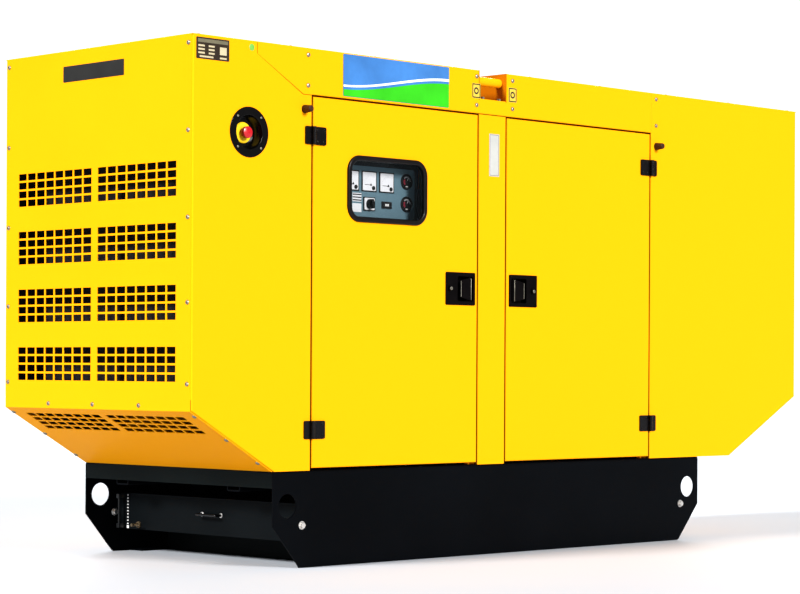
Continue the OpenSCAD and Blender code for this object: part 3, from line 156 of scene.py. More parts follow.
def grain(tree, place, scale, detail=4.0):
    """Noise of a given number of features to the metre, from 0 to 1."""
    noise = tree.nodes.new("ShaderNodeTexNoise")
    noise.inputs["Scale"].default_value = scale
    noise.inputs["Detail"].default_value = detail
    tree.links.new(place, noise.inputs["Vector"])
    return noise.outputs["Fac"]


def tint(tree, shader, amount, dark, light):
    """Let a 0 to 1 pattern move the shader's colour between two shades."""
    ramp = tree.nodes.new("ShaderNodeValToRGB")
    low, high = ramp.color_ramp.elements
    low.position, high.position = RAMP_LOW, RAMP_HIGH
    low.color, high.color = dark, light
    tree.links.new(amount, ramp.inputs["Fac"])
    tree.links.new(ramp.outputs["Color"], shader.inputs["Base Color"])


def spread(tree, shader, amount, socket, low, high):
    """Let a 0 to 1 pattern move one of the shader's numbers from low to high."""
    reach = tree.nodes.new("ShaderNodeMapRange")
    reach.inputs["To Min"].default_value = low
    reach.inputs["To Max"].default_value = high
    tree.links.new(amount, reach.inputs["Value"])
    tree.links.new(reach.outputs["Result"], shader.inputs[socket])


def relief(tree, shader, amount, depth):
    """Let a 0 to 1 pattern stand up from the surface by a depth in metres."""
    bump = tree.nodes.new("ShaderNodeBump")
    bump.inputs["Distance"].default_value = depth
    tree.links.new(amount, bump.inputs["Height"])
    tree.links.new(bump.outputs["Normal"], shader.inputs["Normal"])


def apart(tree, place):
    """The three coordinates of a place."""
    parts = tree.nodes.new("ShaderNodeSeparateXYZ")
    tree.links.new(place, parts.inputs["Vector"])
    return parts.outputs["X"], parts.outputs["Y"], parts.outputs["Z"]


def between(tree, distance, start, stop):
    """How far a distance from the middle is from start to stop, from 0 to 1."""
    outward, reach = tree.nodes.new("ShaderNodeMath"), tree.nodes.new("ShaderNodeMapRange")
    outward.operation = "ABSOLUTE"
    reach.inputs["From Min"].default_value, reach.inputs["From Max"].default_value = start, stop
    tree.links.new(distance, outward.inputs[0])
    tree.links.new(outward.outputs["Value"], reach.inputs["Value"])
    return reach.outputs["Result"]


def figure(tree, operation, first, second):
    """One number made from two, of which the second may be a plain value."""
    made = tree.nodes.new("ShaderNodeMath")
    made.operation = operation
    tree.links.new(first, made.inputs[0])
    if isinstance(second, float):
        made.inputs[1].default_value = second
    else:
        tree.links.new(second, made.inputs[1])
    return made.outputs["Value"]


def shade(colour, factor):
    """A colour made darker or lighter, with no part above one."""
    return tuple(min(c * factor, 1.0) for c in colour[:3]) + (1.0,)


def mottled(name, colour, roughness, gloss, patch, grit, contrast=0.2, depth=0.00005, metallic=0.0):
    """A finish whose shade and roughness drift over patches and whose surface
    has a fine grit, both given as features to the metre."""
    made, tree, shader, place = coat(name, colour, roughness, gloss, metallic)
    drift = grain(tree, place, patch)
    tint(tree, shader, drift, shade(colour, 1.0 - contrast), shade(colour, 1.0 + contrast))
    spread(tree, shader, drift, "Roughness", roughness * ROUGH_LOW, min(roughness * ROUGH_HIGH, 1.0))
    relief(tree, shader, grain(tree, place, grit, GRIT_DETAIL), depth)
    return made


def dress(material, *names):
    """Give CAD nodes one material in place of their packed ones."""
    for name in names:
        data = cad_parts[name].data
        data.materials.clear()
        data.materials.append(material)
        data.polygons.foreach_set("material_index", np.zeros(len(data.polygons), int))


base_paint = mottled("base_paint", BASE_BLACK, 0.42, 0.05, 3.0, 700.0)
dress(base_paint, "base_side_front", "base_side_rear", "chassis_rails")
# Painted light: the beams take a lighter black than the sides, which carry the same paint.
dress(mottled("beam_paint_lit", BEAM_LIT_BLACK, 0.42, 0.06, 4.0, 700.0), "base_beams")

# Base bolts. Zinc-plated hexagon bolts on flat washers, two through each base
# side into the end beams, with their nuts on the inner face of the plate.
BRIGHT_ZINC = (0.78, 0.76, 0.73, 1.0)
BOLT_X = np.array([-1.182, 0.900])
BOLT_Z = 0.148
BOLT_R, BOLT_HIGH = 0.0115, 0.0085
WASHER_R, WASHER_T = 0.0150, 0.0028
PLATE_T = 0.006
SEAT = 0.0004
FRONT, REAR = (1, 0, 0), (-1, 0, 0)
NEAR_END, FAR_END = (0, -1, 0), (0, 1, 0)
UP = (0, 0, 1)
ON_TOP = ((1, 0, 0), (0, 1, 0))
HEXAGON, TRIANGLE = 6, 3


def circle(steps):
    """Points round a circle of radius one: the cosine and sine of equal turns."""
    turn = np.arange(steps) * tau / steps
    return np.stack([np.cos(turn), np.sin(turn)], -1)


def stacked(outlines, heights):
    """A closed solid through outlines held above one another at given heights,
    shut at both ends by quads drawn to the middle of the end outline."""
    outlines, heights = np.asarray(outlines), np.asarray(heights)
    middle = outlines.mean(1, keepdims=True) + np.zeros_like(outlines)
    flat = np.concatenate([middle[:1], outlines, middle[-1:]])
    high = heights[np.r_[0, 0:len(heights), -1]]
    return np.concatenate([flat, np.broadcast_to(high[:, None, None], flat[..., :1].shape)], -1)


def turned(radii, heights, steps=24):
    """A lathe shape: circles of given radii stacked at given heights."""
    return stacked(circle(steps) * np.asarray(radii)[:, None, None], heights)


def face_on(shape, places, across, up=UP):
    """Set copies of a shape drawn across, up and out of a face at places in
    the frame: place + a across + b up + c (across x up)."""
    axes = np.array([across, up, np.cross(across, up)], float)
    places = np.asarray(places, float).reshape(-1, 1, 1, 3)
    return places + shape @ axes


def piece(name, points, material, body="enclosure", round_u=False):
    """Make the surface, give it its finish and let it ride on a body."""
    made = sheet_mesh(name, points, round_u, True)
    made.data.materials.append(material)
    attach(made, body)


def grid(*ranges):
    """Every combination of the values of three ranges, as rows of points."""
    return np.stack(np.meshgrid(*ranges, indexing="ij"), -1).reshape(-1, 3)


bright_zinc = mottled("bright_zinc", BRIGHT_ZINC, 0.34, 0.5, 60.0, 1500.0, 0.12, 0.00002, 1.0)
base_low, base_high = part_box("base_side_front")[0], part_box("base_side_rear")[1]
washer = turned([WASHER_R, WASHER_R, WASHER_R * 0.95], [-SEAT, WASHER_T * 0.7, WASHER_T])
head = turned([BOLT_R, BOLT_R, BOLT_R * 0.86], [0.0, BOLT_HIGH * 0.82, BOLT_HIGH], HEXAGON)
head = head + (0, 0, WASHER_T - SEAT)
for label, across, face in (("front", FRONT, base_low.y), ("rear", REAR, base_high.y)):
    inward = tuple(-c for c in across)
    inner = face + PLATE_T * np.sign(-face)
    outside, inside = grid(BOLT_X, [face], [BOLT_Z]), grid(BOLT_X, [inner], [BOLT_Z])
    for suffix, shape in (("washers", washer), ("bolts", head)):
        both = np.concatenate([face_on(shape, outside, across), face_on(shape, inside, inward)])
        piece(f"{label}_base_{suffix}", both, bright_zinc)

# Fuel tank. A welded tank with rounded corners, hung under the rails between
# the base sides and sprayed black, with a bent steel handle on its end.
TANK_BLACK = (0.0048, 0.0064, 0.0074, 1.0)
HANDLE_BLACK = (0.0060, 0.0062, 0.0065, 1.0)
HANDLE_R, FOOT_R, FOOT_T = 0.005, 0.009, 0.004
tank_paint = mottled("tank_paint", TANK_BLACK, 0.42, 0.06, 4.0, 600.0)
dress(tank_paint, "fuel_tank")
dress(mottled("handle_black", HANDLE_BLACK, 0.18, 0.5, 30.0, 900.0), "tank_handle")
handle_low, handle_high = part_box("tank_handle")
handle_y = [handle_low.y + HANDLE_R, handle_high.y - HANDLE_R]
handle_feet = grid([handle_high.x], handle_y, [handle_low.z + HANDLE_R])
handle_ring = turned([FOOT_R, FOOT_R, FOOT_R * 0.8], [-SEAT, FOOT_T * 0.6, FOOT_T])
piece("handle_rings", face_on(handle_ring, handle_feet, NEAR_END), bright_zinc)

# Tank fittings. A level tube between two blocks and a brass drain cock on the
# tank's end, with a scale strip of printed marks beside the tube.
TUBE_GREY = (0.012, 0.013, 0.014, 1.0)
BRASS = (0.085, 0.062, 0.034, 1.0)
COCK_SIDE, COCK_EDGE = 0.420, 0.440
SCALE_Y = 0.4565
TANK_FACE_HIGH = 0.134
SCALE_HIGH, SCALE_T = 0.132, 0.0012
SCALE_STRIP = (0.014, SCALE_HIGH, 0.002, SCALE_T)
MARK_COUNT, MARK_REACH = 11, 0.45
LEVEL_MARK = (0.008, 0.0040, 0.001, 0.0006, 0.0002)
FOOT_MARK = (0.012, 0.011, 0.001, 0.0006, 0.0002)
STRIP_BLACK = (0.012, 0.012, 0.013, 1.0)
PRINT_WHITE = (0.80, 0.80, 0.78, 1.0)


def soft_box(wide, high, r, steps=5):
    """Outline of a rectangle with round corners: a quarter turn of radius r
    about each inner corner, one after the other."""
    quarter = np.linspace(0.0, pi / 2, steps)
    turn = (np.arange(4)[:, None] * pi / 2 + quarter).ravel()
    corner = np.repeat([[1, 1], [-1, 1], [-1, -1], [1, -1]], steps, 0) * (wide / 2 - r, high / 2 - r)
    return corner + r * np.stack([np.cos(turn), np.sin(turn)], -1)


def plate(wide, high, r, thick, edge=0.0003):
    """A flat plate with round corners and a softened front edge. Sizes under
    one name, such as a mark's, come in the order of these arguments."""
    outer, inner = soft_box(wide, high, r), soft_box(wide - 2 * edge, high - 2 * edge, r - edge)
    return stacked([outer, outer, inner], [-SEAT, thick - edge, thick])


tube_finish, tree, shader, place = coat("tube_finish", TUBE_GREY, 0.3, 0.4)
_, y, _ = apart(tree, place)
tint(tree, shader, between(tree, y, COCK_SIDE, COCK_EDGE), BRASS, TUBE_GREY)
spread(tree, shader, grain(tree, place, 80.0), "Roughness", 0.22, 0.42)
dress(tube_finish, "tank_fittings")
print_black = mottled("print_black", STRIP_BLACK, 0.4, 0.3, 30.0, 800.0)
print_white = mottled("print_white", PRINT_WHITE, 0.45, 0.3, 20.0, 900.0, 0.04, 0.00002)
tank_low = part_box("fuel_tank")[0]
scale_mid = tank_low.z + TANK_FACE_HIGH / 2
scale_place = (tank_low.x, SCALE_Y, scale_mid)
strip = plate(*SCALE_STRIP)
piece("level_scale", face_on(strip, scale_place, NEAR_END), print_black)
mark_z = scale_mid + np.linspace(-MARK_REACH, MARK_REACH, MARK_COUNT) * SCALE_HIGH
marks = grid([tank_low.x - SCALE_T], [SCALE_Y], mark_z)
level_marks = np.concatenate([face_on(plate(*FOOT_MARK), marks[0], NEAR_END),
                              face_on(plate(*LEVEL_MARK), marks[1:], NEAR_END)])
piece("level_marks", level_marks, print_white)

# Generating set. Cast and welded machines in workshop colours: alternator,
# engine with its head, fan, radiator and silencer on rubber mounts.
ALTERNATOR_BLUE = (0.045, 0.075, 0.105, 1.0)
ENGINE_IRON = (0.070, 0.078, 0.072, 1.0)
FAN_BLACK = (0.012, 0.012, 0.013, 1.0)
RADIATOR_BLACK = (0.016, 0.017, 0.018, 1.0)
ALUMINISED = (0.42, 0.42, 0.41, 1.0)
RUBBER_BLACK = (0.0075, 0.0070, 0.0066, 1.0)
dress(mottled("machine_paint", ALTERNATOR_BLUE, 0.45, 0.4, 8.0, 350.0, 0.15, 0.0002), "alternator")
engine_iron = mottled("engine_iron", ENGINE_IRON, 0.6, 0.35, 14.0, 260.0, 0.25, 0.0004)
dress(engine_iron, "engine_block", "cylinder_head")
dress(mottled("fan_plastic", FAN_BLACK, 0.5, 0.4, 30.0, 500.0), "cooling_fan")
dress(mottled("radiator_paint", RADIATOR_BLACK, 0.5, 0.4, 18.0, 420.0), "radiator")
aluminised = mottled("aluminised_steel", ALUMINISED, 0.42, 0.5, 22.0, 500.0, 0.18, 0.0001, 0.9)
dress(aluminised, "exhaust_silencer")
rubber = mottled("rubber", RUBBER_BLACK, 0.5, 0.25, 40.0, 600.0, 0.35, 0.0001)
dress(rubber, "rubber_mounts")

# Control box. A folded steel cabinet behind the window with a painted plate
# that carries three meters, two gauges and a selector.
BOX_GREY = (0.020, 0.022, 0.024, 1.0)
PANEL_BLUE = (0.120, 0.200, 0.240, 1.0)
INSTRUMENT_BLACK = (0.010, 0.010, 0.011, 1.0)
dress(mottled("box_paint", BOX_GREY, 0.5, 0.3, 5.0, 500.0), "control_box")
panel_paint = mottled("panel_paint", PANEL_BLUE, 0.48, 0.3, 12.0, 550.0, 0.05)
dress(panel_paint, "instrument_panel")
instrument_black = mottled("instrument_black", INSTRUMENT_BLACK, 0.35, 0.35, 50.0, 900.0)
dress(instrument_black, "panel_instruments")
panel_low, panel_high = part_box("instrument_panel")

# Meters. Square moving-iron meters with white cards: a faint quarter-circle
# scale, a short needle on a pointed hub and a moulded cover over the pivot.
METER_IN, METER_STEP, METER_DOWN, METER_OUT = 0.145, 0.088, 0.054, 0.0025
METER_X = panel_high.x - METER_IN - METER_STEP * np.arange(3)
METER_Z = panel_high.z - METER_DOWN
METER_Y = panel_low.y - METER_OUT
CARD_T = 0.0008
CARD = (0.066, 0.066, 0.003, CARD_T)
CARD_WHITE = (0.74, 0.74, 0.76, 1.0)
TICK_GREY = (0.42, 0.42, 0.44, 1.0)
HUB_X, HUB_Z, HUB_R = 0.007, -0.012, 0.0055
HUB_SIDE, HUB_TOP = 0.0014, 0.0022
COVER_X, COVER_Z, COVER_R = 0.020, -0.023, 0.0075
COVER_SIDE, COVER_TOP = 0.0022, 0.0030
SCALE_R = 0.033
SCALE_TURN = np.radians(np.linspace(60.0, 165.0, 9))
TICK = (0.0040, 0.0008, 0.0003, 0.0004, 0.0001)
NEEDLE_LONG = 0.030
NEEDLE = (NEEDLE_LONG, 0.0014, 0.0004, 0.0012, 0.0002)


def turn_flat(shape, turn, shift):
    """Copies of a flat shape moved along its across axis, then turned in its
    own face by each angle: the rotation matrix applied to across and up."""
    turn, moved = np.asarray(turn).reshape(-1, 1, 1), shape + (shift, 0, 0)
    a, b, c = np.moveaxis(moved, -1, 0)
    return np.stack([a * np.cos(turn) - b * np.sin(turn), a * np.sin(turn) + b * np.cos(turn),
                     c + 0 * turn], -1)


def each(shapes, places, across, up=UP):
    """Every one of several shapes at every place on a face."""
    return np.concatenate([face_on(shape, places, across, up) for shape in shapes])


card_white = mottled("card_white", CARD_WHITE, 0.45, 0.3, 20.0, 900.0, 0.03, 0.00002)
tick_grey = mottled("tick_grey", TICK_GREY, 0.45, 0.3, 20.0, 900.0, 0.05, 0.00002)
card_places = grid(METER_X, [METER_Y], [METER_Z])
hub_places = card_places + (HUB_X, -CARD_T, HUB_Z)
piece("meter_cards", face_on(plate(*CARD), card_places, FRONT), card_white)
ticks = each(turn_flat(plate(*TICK), SCALE_TURN, SCALE_R), hub_places, FRONT)
piece("meter_ticks", ticks, tick_grey)
needles = each(turn_flat(plate(*NEEDLE), [pi], NEEDLE_LONG / 2), hub_places, FRONT)
piece("meter_needles", needles, print_black)
needle_hub = turned([HUB_R, HUB_R, HUB_R * 0.7], [-SEAT, HUB_SIDE, HUB_TOP], TRIANGLE)
needle_hub = turn_flat(needle_hub, [pi / 2], 0.0)
piece("meter_hubs", face_on(needle_hub, hub_places, FRONT), print_black)
cover = turned([COVER_R, COVER_R, COVER_R * 0.85], [-SEAT, COVER_SIDE, COVER_TOP])
cover_places = card_places + (COVER_X, -CARD_T, COVER_Z)
piece("meter_covers", face_on(cover, cover_places, FRONT), instrument_black)

# Gauges. Round engine gauges with black dials and rims: white marks on an arc,
# a dull red band at its end, a pale pointer and a blank window under the hub.
GAUGE_IN, GAUGE_DOWN, GAUGE_STEP = 0.043, 0.045, 0.082
GAUGE_X = panel_high.x - GAUGE_IN
GAUGE_Z = panel_high.z - GAUGE_DOWN - GAUGE_STEP * np.arange(2)
GAUGE_R, RING_R = 0.0290, 0.0022
MARK_TURN = np.radians(np.linspace(10.0, 130.0, 9))
RED_TURN = np.radians(np.linspace(150.0, 225.0, 13))
POINTER_TURN = radians(62.0)
DIAL_MARK, MARK_OUT = (0.0055, 0.0018, 0.0004, 0.0005, 0.0001), 0.0175
BAND_PART, BAND_OUT = (0.0075, 0.0022, 0.0003, 0.0004, 0.0001), 0.0125
POINTER, POINTER_OUT = (0.0160, 0.0018, 0.0005, 0.0014, 0.0002), 0.006
DIAL_WINDOW, WINDOW_DOWN = (0.0110, 0.0038, 0.0008, 0.0005, 0.0001), 0.0175
DIAL_HUB = ([0.0042, 0.0042, 0.0030], [-SEAT, 0.0018, 0.0026])
BAND_RED = (0.42, 0.045, 0.075, 1.0)


def hoop(radius, thick, steps=40, rows=10):
    """A ring of round section: a circle of the section's radius carried round
    a circle, radius + thick cos b across and thick sin b out of the face."""
    section = circle(rows) * thick
    rim = circle(steps)[:, None] * (radius + section[None, :, :1])
    return np.concatenate([rim, np.broadcast_to(section[None, :, 1:], rim.shape[:2] + (1,))], -1)


dials = grid([GAUGE_X], [METER_Y], GAUGE_Z)
dial_marks = each(turn_flat(plate(*DIAL_MARK), MARK_TURN, MARK_OUT), dials, FRONT)
piece("gauge_marks", dial_marks, card_white)
band_red = mottled("band_red", BAND_RED, 0.45, 0.3, 30.0, 900.0, 0.1)
bands = each(turn_flat(plate(*BAND_PART), RED_TURN, BAND_OUT), dials, FRONT)
piece("gauge_bands", bands, band_red)
pointers = each(turn_flat(plate(*POINTER), [POINTER_TURN], POINTER_OUT), dials, FRONT)
piece("gauge_pointers", pointers, card_white)
windows = face_on(plate(*DIAL_WINDOW), dials - (0.0, 0.0, WINDOW_DOWN), FRONT)
piece("gauge_windows", windows, print_white)
piece("gauge_hubs", face_on(turned(*DIAL_HUB), dials, FRONT), instrument_black)
rings = face_on(hoop(GAUGE_R - RING_R, RING_R), dials, FRONT)
piece("gauge_rings", rings, instrument_black, round_u=True)

# Selector. A black knob with a grip on a white plate, a small counter beside
# it and two bare printed labels, all screwed or stuck to the panel.
SELECTOR_IN, SELECTOR_DOWN, SELECTOR_OUT, KNOB_OUT = 0.233, 0.135, 0.004, 0.018
SELECTOR_X, SELECTOR_Z = panel_high.x - SELECTOR_IN, panel_high.z - SELECTOR_DOWN
SELECTOR_Y = panel_low.y - SELECTOR_OUT
SELECTOR_CARD = (0.051, 0.043, 0.004, 0.0008)
KNOB_R, KNOB_T = 0.0175, 0.014
GRIP, GRIP_TURN = (0.034, 0.010, 0.0040, 0.009, 0.0015), radians(100.0)
DIGIT, DIGIT_STEP = (0.0052, 0.0085, 0.0008, 0.0006, 0.0002), 0.0066
LABEL_IN, LABEL_DOWN, LABEL_T = 0.2925, np.array([0.1135, 0.1510]), 0.0008
LABEL_X, LABEL_Z = panel_high.x - LABEL_IN, panel_high.z - LABEL_DOWN
PANEL_LABEL = (0.045, 0.031, 0.001, LABEL_T)
LABEL_LINE, LINE_STEP = (0.043, 0.0042, 0.0006, 0.0004, 0.0001), 0.0100
selector_place = (SELECTOR_X, SELECTOR_Y, SELECTOR_Z)
selector_card = face_on(plate(*SELECTOR_CARD), selector_place, FRONT)
piece("selector_card", selector_card, card_white)
skirt = turned([KNOB_R, KNOB_R, KNOB_R * 0.88], [-SEAT, KNOB_T * 0.75, KNOB_T])
piece("selector_skirt", face_on(skirt, selector_place, FRONT), instrument_black)
grip = turn_flat(plate(*GRIP), [GRIP_TURN], 0.0)
grip_place = (SELECTOR_X, panel_low.y - KNOB_OUT, SELECTOR_Z)
piece("selector_grip", face_on(grip, grip_place, FRONT), instrument_black)
digits = grid(METER_X[0] + DIGIT_STEP * np.arange(-1, 2), [SELECTOR_Y], [SELECTOR_Z])
piece("counter_windows", face_on(plate(*DIGIT), digits, FRONT), print_white)
label_places = grid([LABEL_X], [panel_low.y], LABEL_Z)
piece("panel_labels", face_on(plate(*PANEL_LABEL), label_places, FRONT), card_white)
lines = grid([LABEL_X], [panel_low.y - LABEL_T], LABEL_Z[0] + LINE_STEP * np.arange(-1.0, 2.0))
piece("label_lines", face_on(plate(*LABEL_LINE), lines, FRONT), print_black)

# Canopy sheets. Laser-cut and folded steel, powder coated yellow: the slotted
# end and slope sheets and the roof.
CANOPY_YELLOW = (0.93, 0.38, 0.004, 1.0)
CANOPY_ROUGH, CANOPY_GLOSS = 0.4, 0.03
CANOPY_PATCH, CANOPY_GRIT, CANOPY_DEPTH = 1.5, 450.0, 0.00004
canopy_paint = mottled("canopy_paint", CANOPY_YELLOW, CANOPY_ROUGH, CANOPY_GLOSS,
                       CANOPY_PATCH, CANOPY_GRIT, 0.025, CANOPY_DEPTH)
dress(canopy_paint, "near_end_panel", "near_slope_panel")
dress(canopy_paint, "far_end_panel", "far_slope_panel", "roof_panel")

# Side sheets. The same coat, but the folded edges in the seams between sheets,
# bands, posts and doors are painted brown as painted shade. Faces that look out
# or in, deeper folds and the outer corners keep the plain yellow.
SEAM_PAINTED_SHADE = (0.27, 0.090, 0.001, 1.0)
SEAM_SHADED_Y, SEAM_UNSHADED_Y = 0.5195, 0.5222
SEAM_DEEP_Y, FOLD_Y = 0.508, 0.503
SEAM_LAST_X, CORNER_X = 1.30, 1.50
EDGE_ON, FACE_ON = 0.5, 0.8


def powder_coat(name, patch):
    """The canopy's coat for a sheet whose colour goes by place."""
    made, tree, shader, place = coat(name, CANOPY_YELLOW, CANOPY_ROUGH, CANOPY_GLOSS)
    spread(tree, shader, grain(tree, place, patch), "Roughness",
           CANOPY_ROUGH * ROUGH_LOW, CANOPY_ROUGH * ROUGH_HIGH)
    relief(tree, shader, grain(tree, place, CANOPY_GRIT, GRIT_DETAIL), CANOPY_DEPTH)
    return made, tree, shader, place


side_paint_seam_shade, tree, shader, place = powder_coat("side_paint_seam_shade", CANOPY_PATCH)
x, y, _ = apart(tree, place)
_, facing, _ = apart(tree, place.node.outputs["Normal"])
full = between(tree, y, SEAM_SHADED_Y, SEAM_UNSHADED_Y)
for distance, shaded_at, unshaded_at in ((y, SEAM_DEEP_Y, FOLD_Y), (x, SEAM_LAST_X, CORNER_X),
                               (facing, EDGE_ON, FACE_ON)):
    full = figure(tree, "MAXIMUM", full, between(tree, distance, shaded_at, unshaded_at))
# The tint lays brown painted shade on the seam edges and leaves the rest yellow.
tint(tree, shader, full, SEAM_PAINTED_SHADE, CANOPY_YELLOW)
dress(side_paint_seam_shade, "front_near_panel", "front_far_panel", "front_fascia", "front_post")
dress(side_paint_seam_shade, "rear_near_panel", "rear_far_panel", "rear_fascia", "rear_post", "rear_doors")

# Sheet screws. Zinc-plated button-head screws with a socket, through the edges
# of the end, slope and roof sheets and of the bands over the doors.
ZINC = (0.30, 0.28, 0.23, 1.0)
SCREW_R, SCREW_HIGH = 0.0085, 0.0045
SOCKET_R, SOCKET_DEEP = 0.0030, 0.0025
BAND_X = [-1.161, -0.312, -0.116, 0.736]
BAND_Z = [1.776, 1.670]
END_Y, END_Z = [-0.503, 0.503], [1.770, 1.480, 1.191, 0.908]
END_LOW, END_FOOT = 0.091, 0.017
FOOT_Y = [-0.248, 0.007, 0.260]
SLOPE_Y, SLOPE_DOWN = [-0.507, 0.507], [0.034, 0.196, 0.358]
SLOPE_RUN = {"near": 0.364, "far": 0.452}
ROOF_X, ROOF_Y = np.linspace(-1.64, 1.64, 9), [-0.503, 0.503]


def button_screw(r, high, socket, deep, steps=16):
    """A domed head with a round socket in its top, turned from six radii."""
    return turned([r, r * 0.97, r * 0.80, socket * 1.15, socket, socket * 0.9],
                  [-SEAT, high * 0.3, high * 0.75, high, high * 0.97, high - deep], steps)


zinc = mottled("zinc", ZINC, 0.45, 0.5, 60.0, 1500.0, 0.12, 0.00002, 1.0)
screw = button_screw(SCREW_R, SCREW_HIGH, SOCKET_R, SOCKET_DEEP)
low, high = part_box("front_fascia")[0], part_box("rear_fascia")[1]
piece("front_band_screws", face_on(screw, grid(BAND_X, [low.y], BAND_Z), FRONT), zinc)
piece("rear_band_screws", face_on(screw, grid(BAND_X, [high.y], BAND_Z), REAR), zinc)
for label, across, out in (("near", NEAR_END, -1), ("far", FAR_END, 1)):
    end_low, end_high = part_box(f"{label}_end_panel")
    slope_low, slope_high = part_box(f"{label}_slope_panel")
    end_x = end_low.x if out < 0 else end_high.x
    rise = slope_high.z - slope_low.z
    run = SLOPE_RUN[label]
    up_slope = np.array([out * run, 0.0, rise]) / sqrt(run ** 2 + rise ** 2)
    edges = grid([end_x], END_Y, END_Z + [end_low.z + END_LOW])
    foot = grid([end_x], FOOT_Y, [end_low.z + END_FOOT])
    end_places = np.concatenate([edges, foot])
    piece(f"{label}_end_screws", face_on(screw, end_places, across), zinc)
    down = grid([0.0], SLOPE_Y, SLOPE_DOWN)
    slope_places = np.array([end_x, 0.0, end_low.z]) + down * (0, 1, 0) - down[:, 2:] * up_slope
    slope_screws = face_on(screw, slope_places, across, up_slope)
    piece(f"{label}_slope_screws", slope_screws, zinc)
roof_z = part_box("roof_panel")[1].z
roof_screws = face_on(screw, grid(ROOF_X, ROOF_Y, [roof_z]), *ON_TOP)
piece("roof_screws", roof_screws, zinc)

# Foam lining. Dark acoustic foam glued inside the sheets and the doors and
# held by plastic pins, and the baffles behind the slotted ends.
FOAM_GREY = (0.022, 0.021, 0.021, 1.0)
PIN_R, PIN_T, DIMPLE_R = 0.016, 0.0025, 0.004
PIN_X, PIN_Z = np.array([-0.325, 0.0, 0.325]), [0.45, 0.75, 1.15, 1.56]
foam, tree, shader, place = coat("foam", FOAM_GREY, 0.95, 0.1)
tint(tree, shader, grain(tree, place, 120.0), shade(FOAM_GREY, 0.6), shade(FOAM_GREY, 1.4))
relief(tree, shader, grain(tree, place, 160.0), 0.002)
dress(foam, "wall_linings", "air_baffles", "left_door_lining", "right_door_lining")
pin = turned([PIN_R, PIN_R, PIN_R * 0.85, DIMPLE_R, DIMPLE_R * 0.75],
             [-SEAT, PIN_T * 0.5, PIN_T, PIN_T, PIN_T * 0.4])
for door in ("left_door", "right_door"):
    low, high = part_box(f"{door}_lining")
    pins = grid((low.x + high.x) / 2 + PIN_X, [high.y], PIN_Z)
    piece(f"{door}_pins", face_on(pin, pins, REAR), instrument_black, door)

# Lifting points. Round bars welded across pockets in the roof's edges, with
# two bolts through each pocket floor; the back and the side walls of each
# pocket are painted browner than the bar, as painted shade.
POCKET_PAINTED_SHADE = (0.42, 0.13, 0.002, 1.0)
POCKET_PATCH = 14.0
POCKET_SHADED_Y, POCKET_UNSHADED_Y = 0.455, 0.490
WALL_X, WALL_EDGE = 0.0715, 0.001
POCKET_BOLT_X, POCKET_BOLT_IN = np.array([-0.045, 0.045]), 0.012
POCKET_BOLT = ([0.0085, 0.0085, 0.0075], [-SEAT, 0.0075, 0.0090], HEXAGON)
POCKET_FLOOR = 0.004
low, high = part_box("lifting_points")
pocket_mid = (low.x + high.x) / 2
pocket_paint_shaded, tree, shader, place = powder_coat("pocket_paint_shaded", POCKET_PATCH)
x, y, _ = apart(tree, place)
in_front = between(tree, y, POCKET_SHADED_Y, POCKET_UNSHADED_Y)
off_wall = between(tree, figure(tree, "SUBTRACT", x, pocket_mid), WALL_X, WALL_X - WALL_EDGE)
# The tint lays brown painted shade on the back and the walls of each pocket.
tint(tree, shader, figure(tree, "MINIMUM", in_front, off_wall), POCKET_PAINTED_SHADE, CANOPY_YELLOW)
dress(pocket_paint_shaded, "lifting_points")
pocket_y = [low.y + POCKET_BOLT_IN, high.y - POCKET_BOLT_IN]
pocket_places = grid(pocket_mid + POCKET_BOLT_X, pocket_y, [low.z + POCKET_FLOOR])
piece("pocket_bolts", face_on(turned(*POCKET_BOLT), pocket_places, *ON_TOP), zinc)

# Doors. Folded pans with rounded edges, powder coated with the canopy, that
# close against a hollow rubber bulb on the lips of their openings.
LIP_Y, BULB_HALF, BULB_HIGH, BULB_TURN = -0.479, 0.0055, 0.0048, 0.030
LIP_MID = 0.0125
OPENINGS = {"left": (-1.142, -0.299), "right": (-0.151, 0.704)}
SILL_Z, HEAD_Z = 0.345, 1.639


def bulb(left, right, sill, top, turn, steps=7):
    """A half-round bulb carried up one side, over the top and down the other:
    the path turns a quarter circle at each top corner, and the section stands
    across the path by w cos b and out of the face by h sin b."""
    a = np.linspace(0.0, pi / 2, steps)
    first = np.stack([left + turn * (1 - np.cos(a)), top - turn * (1 - np.sin(a))], -1)
    last = np.stack([right - turn * (1 - np.sin(a)), top - turn * (1 - np.cos(a))], -1)
    path = np.concatenate([[[left, sill]], first, last, [[right, sill]]])
    inward = np.concatenate([[[1, 0]], np.stack([np.cos(a), -np.sin(a)], -1),
                             np.stack([-np.sin(a), -np.cos(a)], -1), [[-1, 0]]])
    b = np.linspace(0.0, pi, 9)
    flat = path[:, None] + inward[:, None] * (BULB_HALF * np.cos(b))[None, :, None]
    out = np.broadcast_to(LIP_Y + SEAT - BULB_HIGH * np.sin(b), flat.shape[:2])
    run = np.stack([flat[..., 0], out, flat[..., 1]], -1)
    ends = run.mean(1, keepdims=True) + np.zeros_like(run)
    return np.concatenate([ends[:1], run, ends[-1:]])


# The doors take the side sheets' coat, with its brown painted shade on the seam edges.
dress(side_paint_seam_shade, "left_door", "right_door")
for label, (left, right) in OPENINGS.items():
    seal = bulb(left + LIP_MID, right - LIP_MID, SILL_Z, HEAD_Z - LIP_MID, BULB_TURN)
    piece(f"{label}_door_bulb", seal, rubber)

# Door buffers. Brown rubber cones screwed to the side sheets by the upper
# hinges, on which the open doors come to rest.
BUFFER_BROWN = (0.050, 0.016, 0.005, 1.0)
dress(mottled("buffer_rubber", BUFFER_BROWN, 0.5, 0.25, 60.0, 700.0, 0.3, 0.0001), "door_buffers")

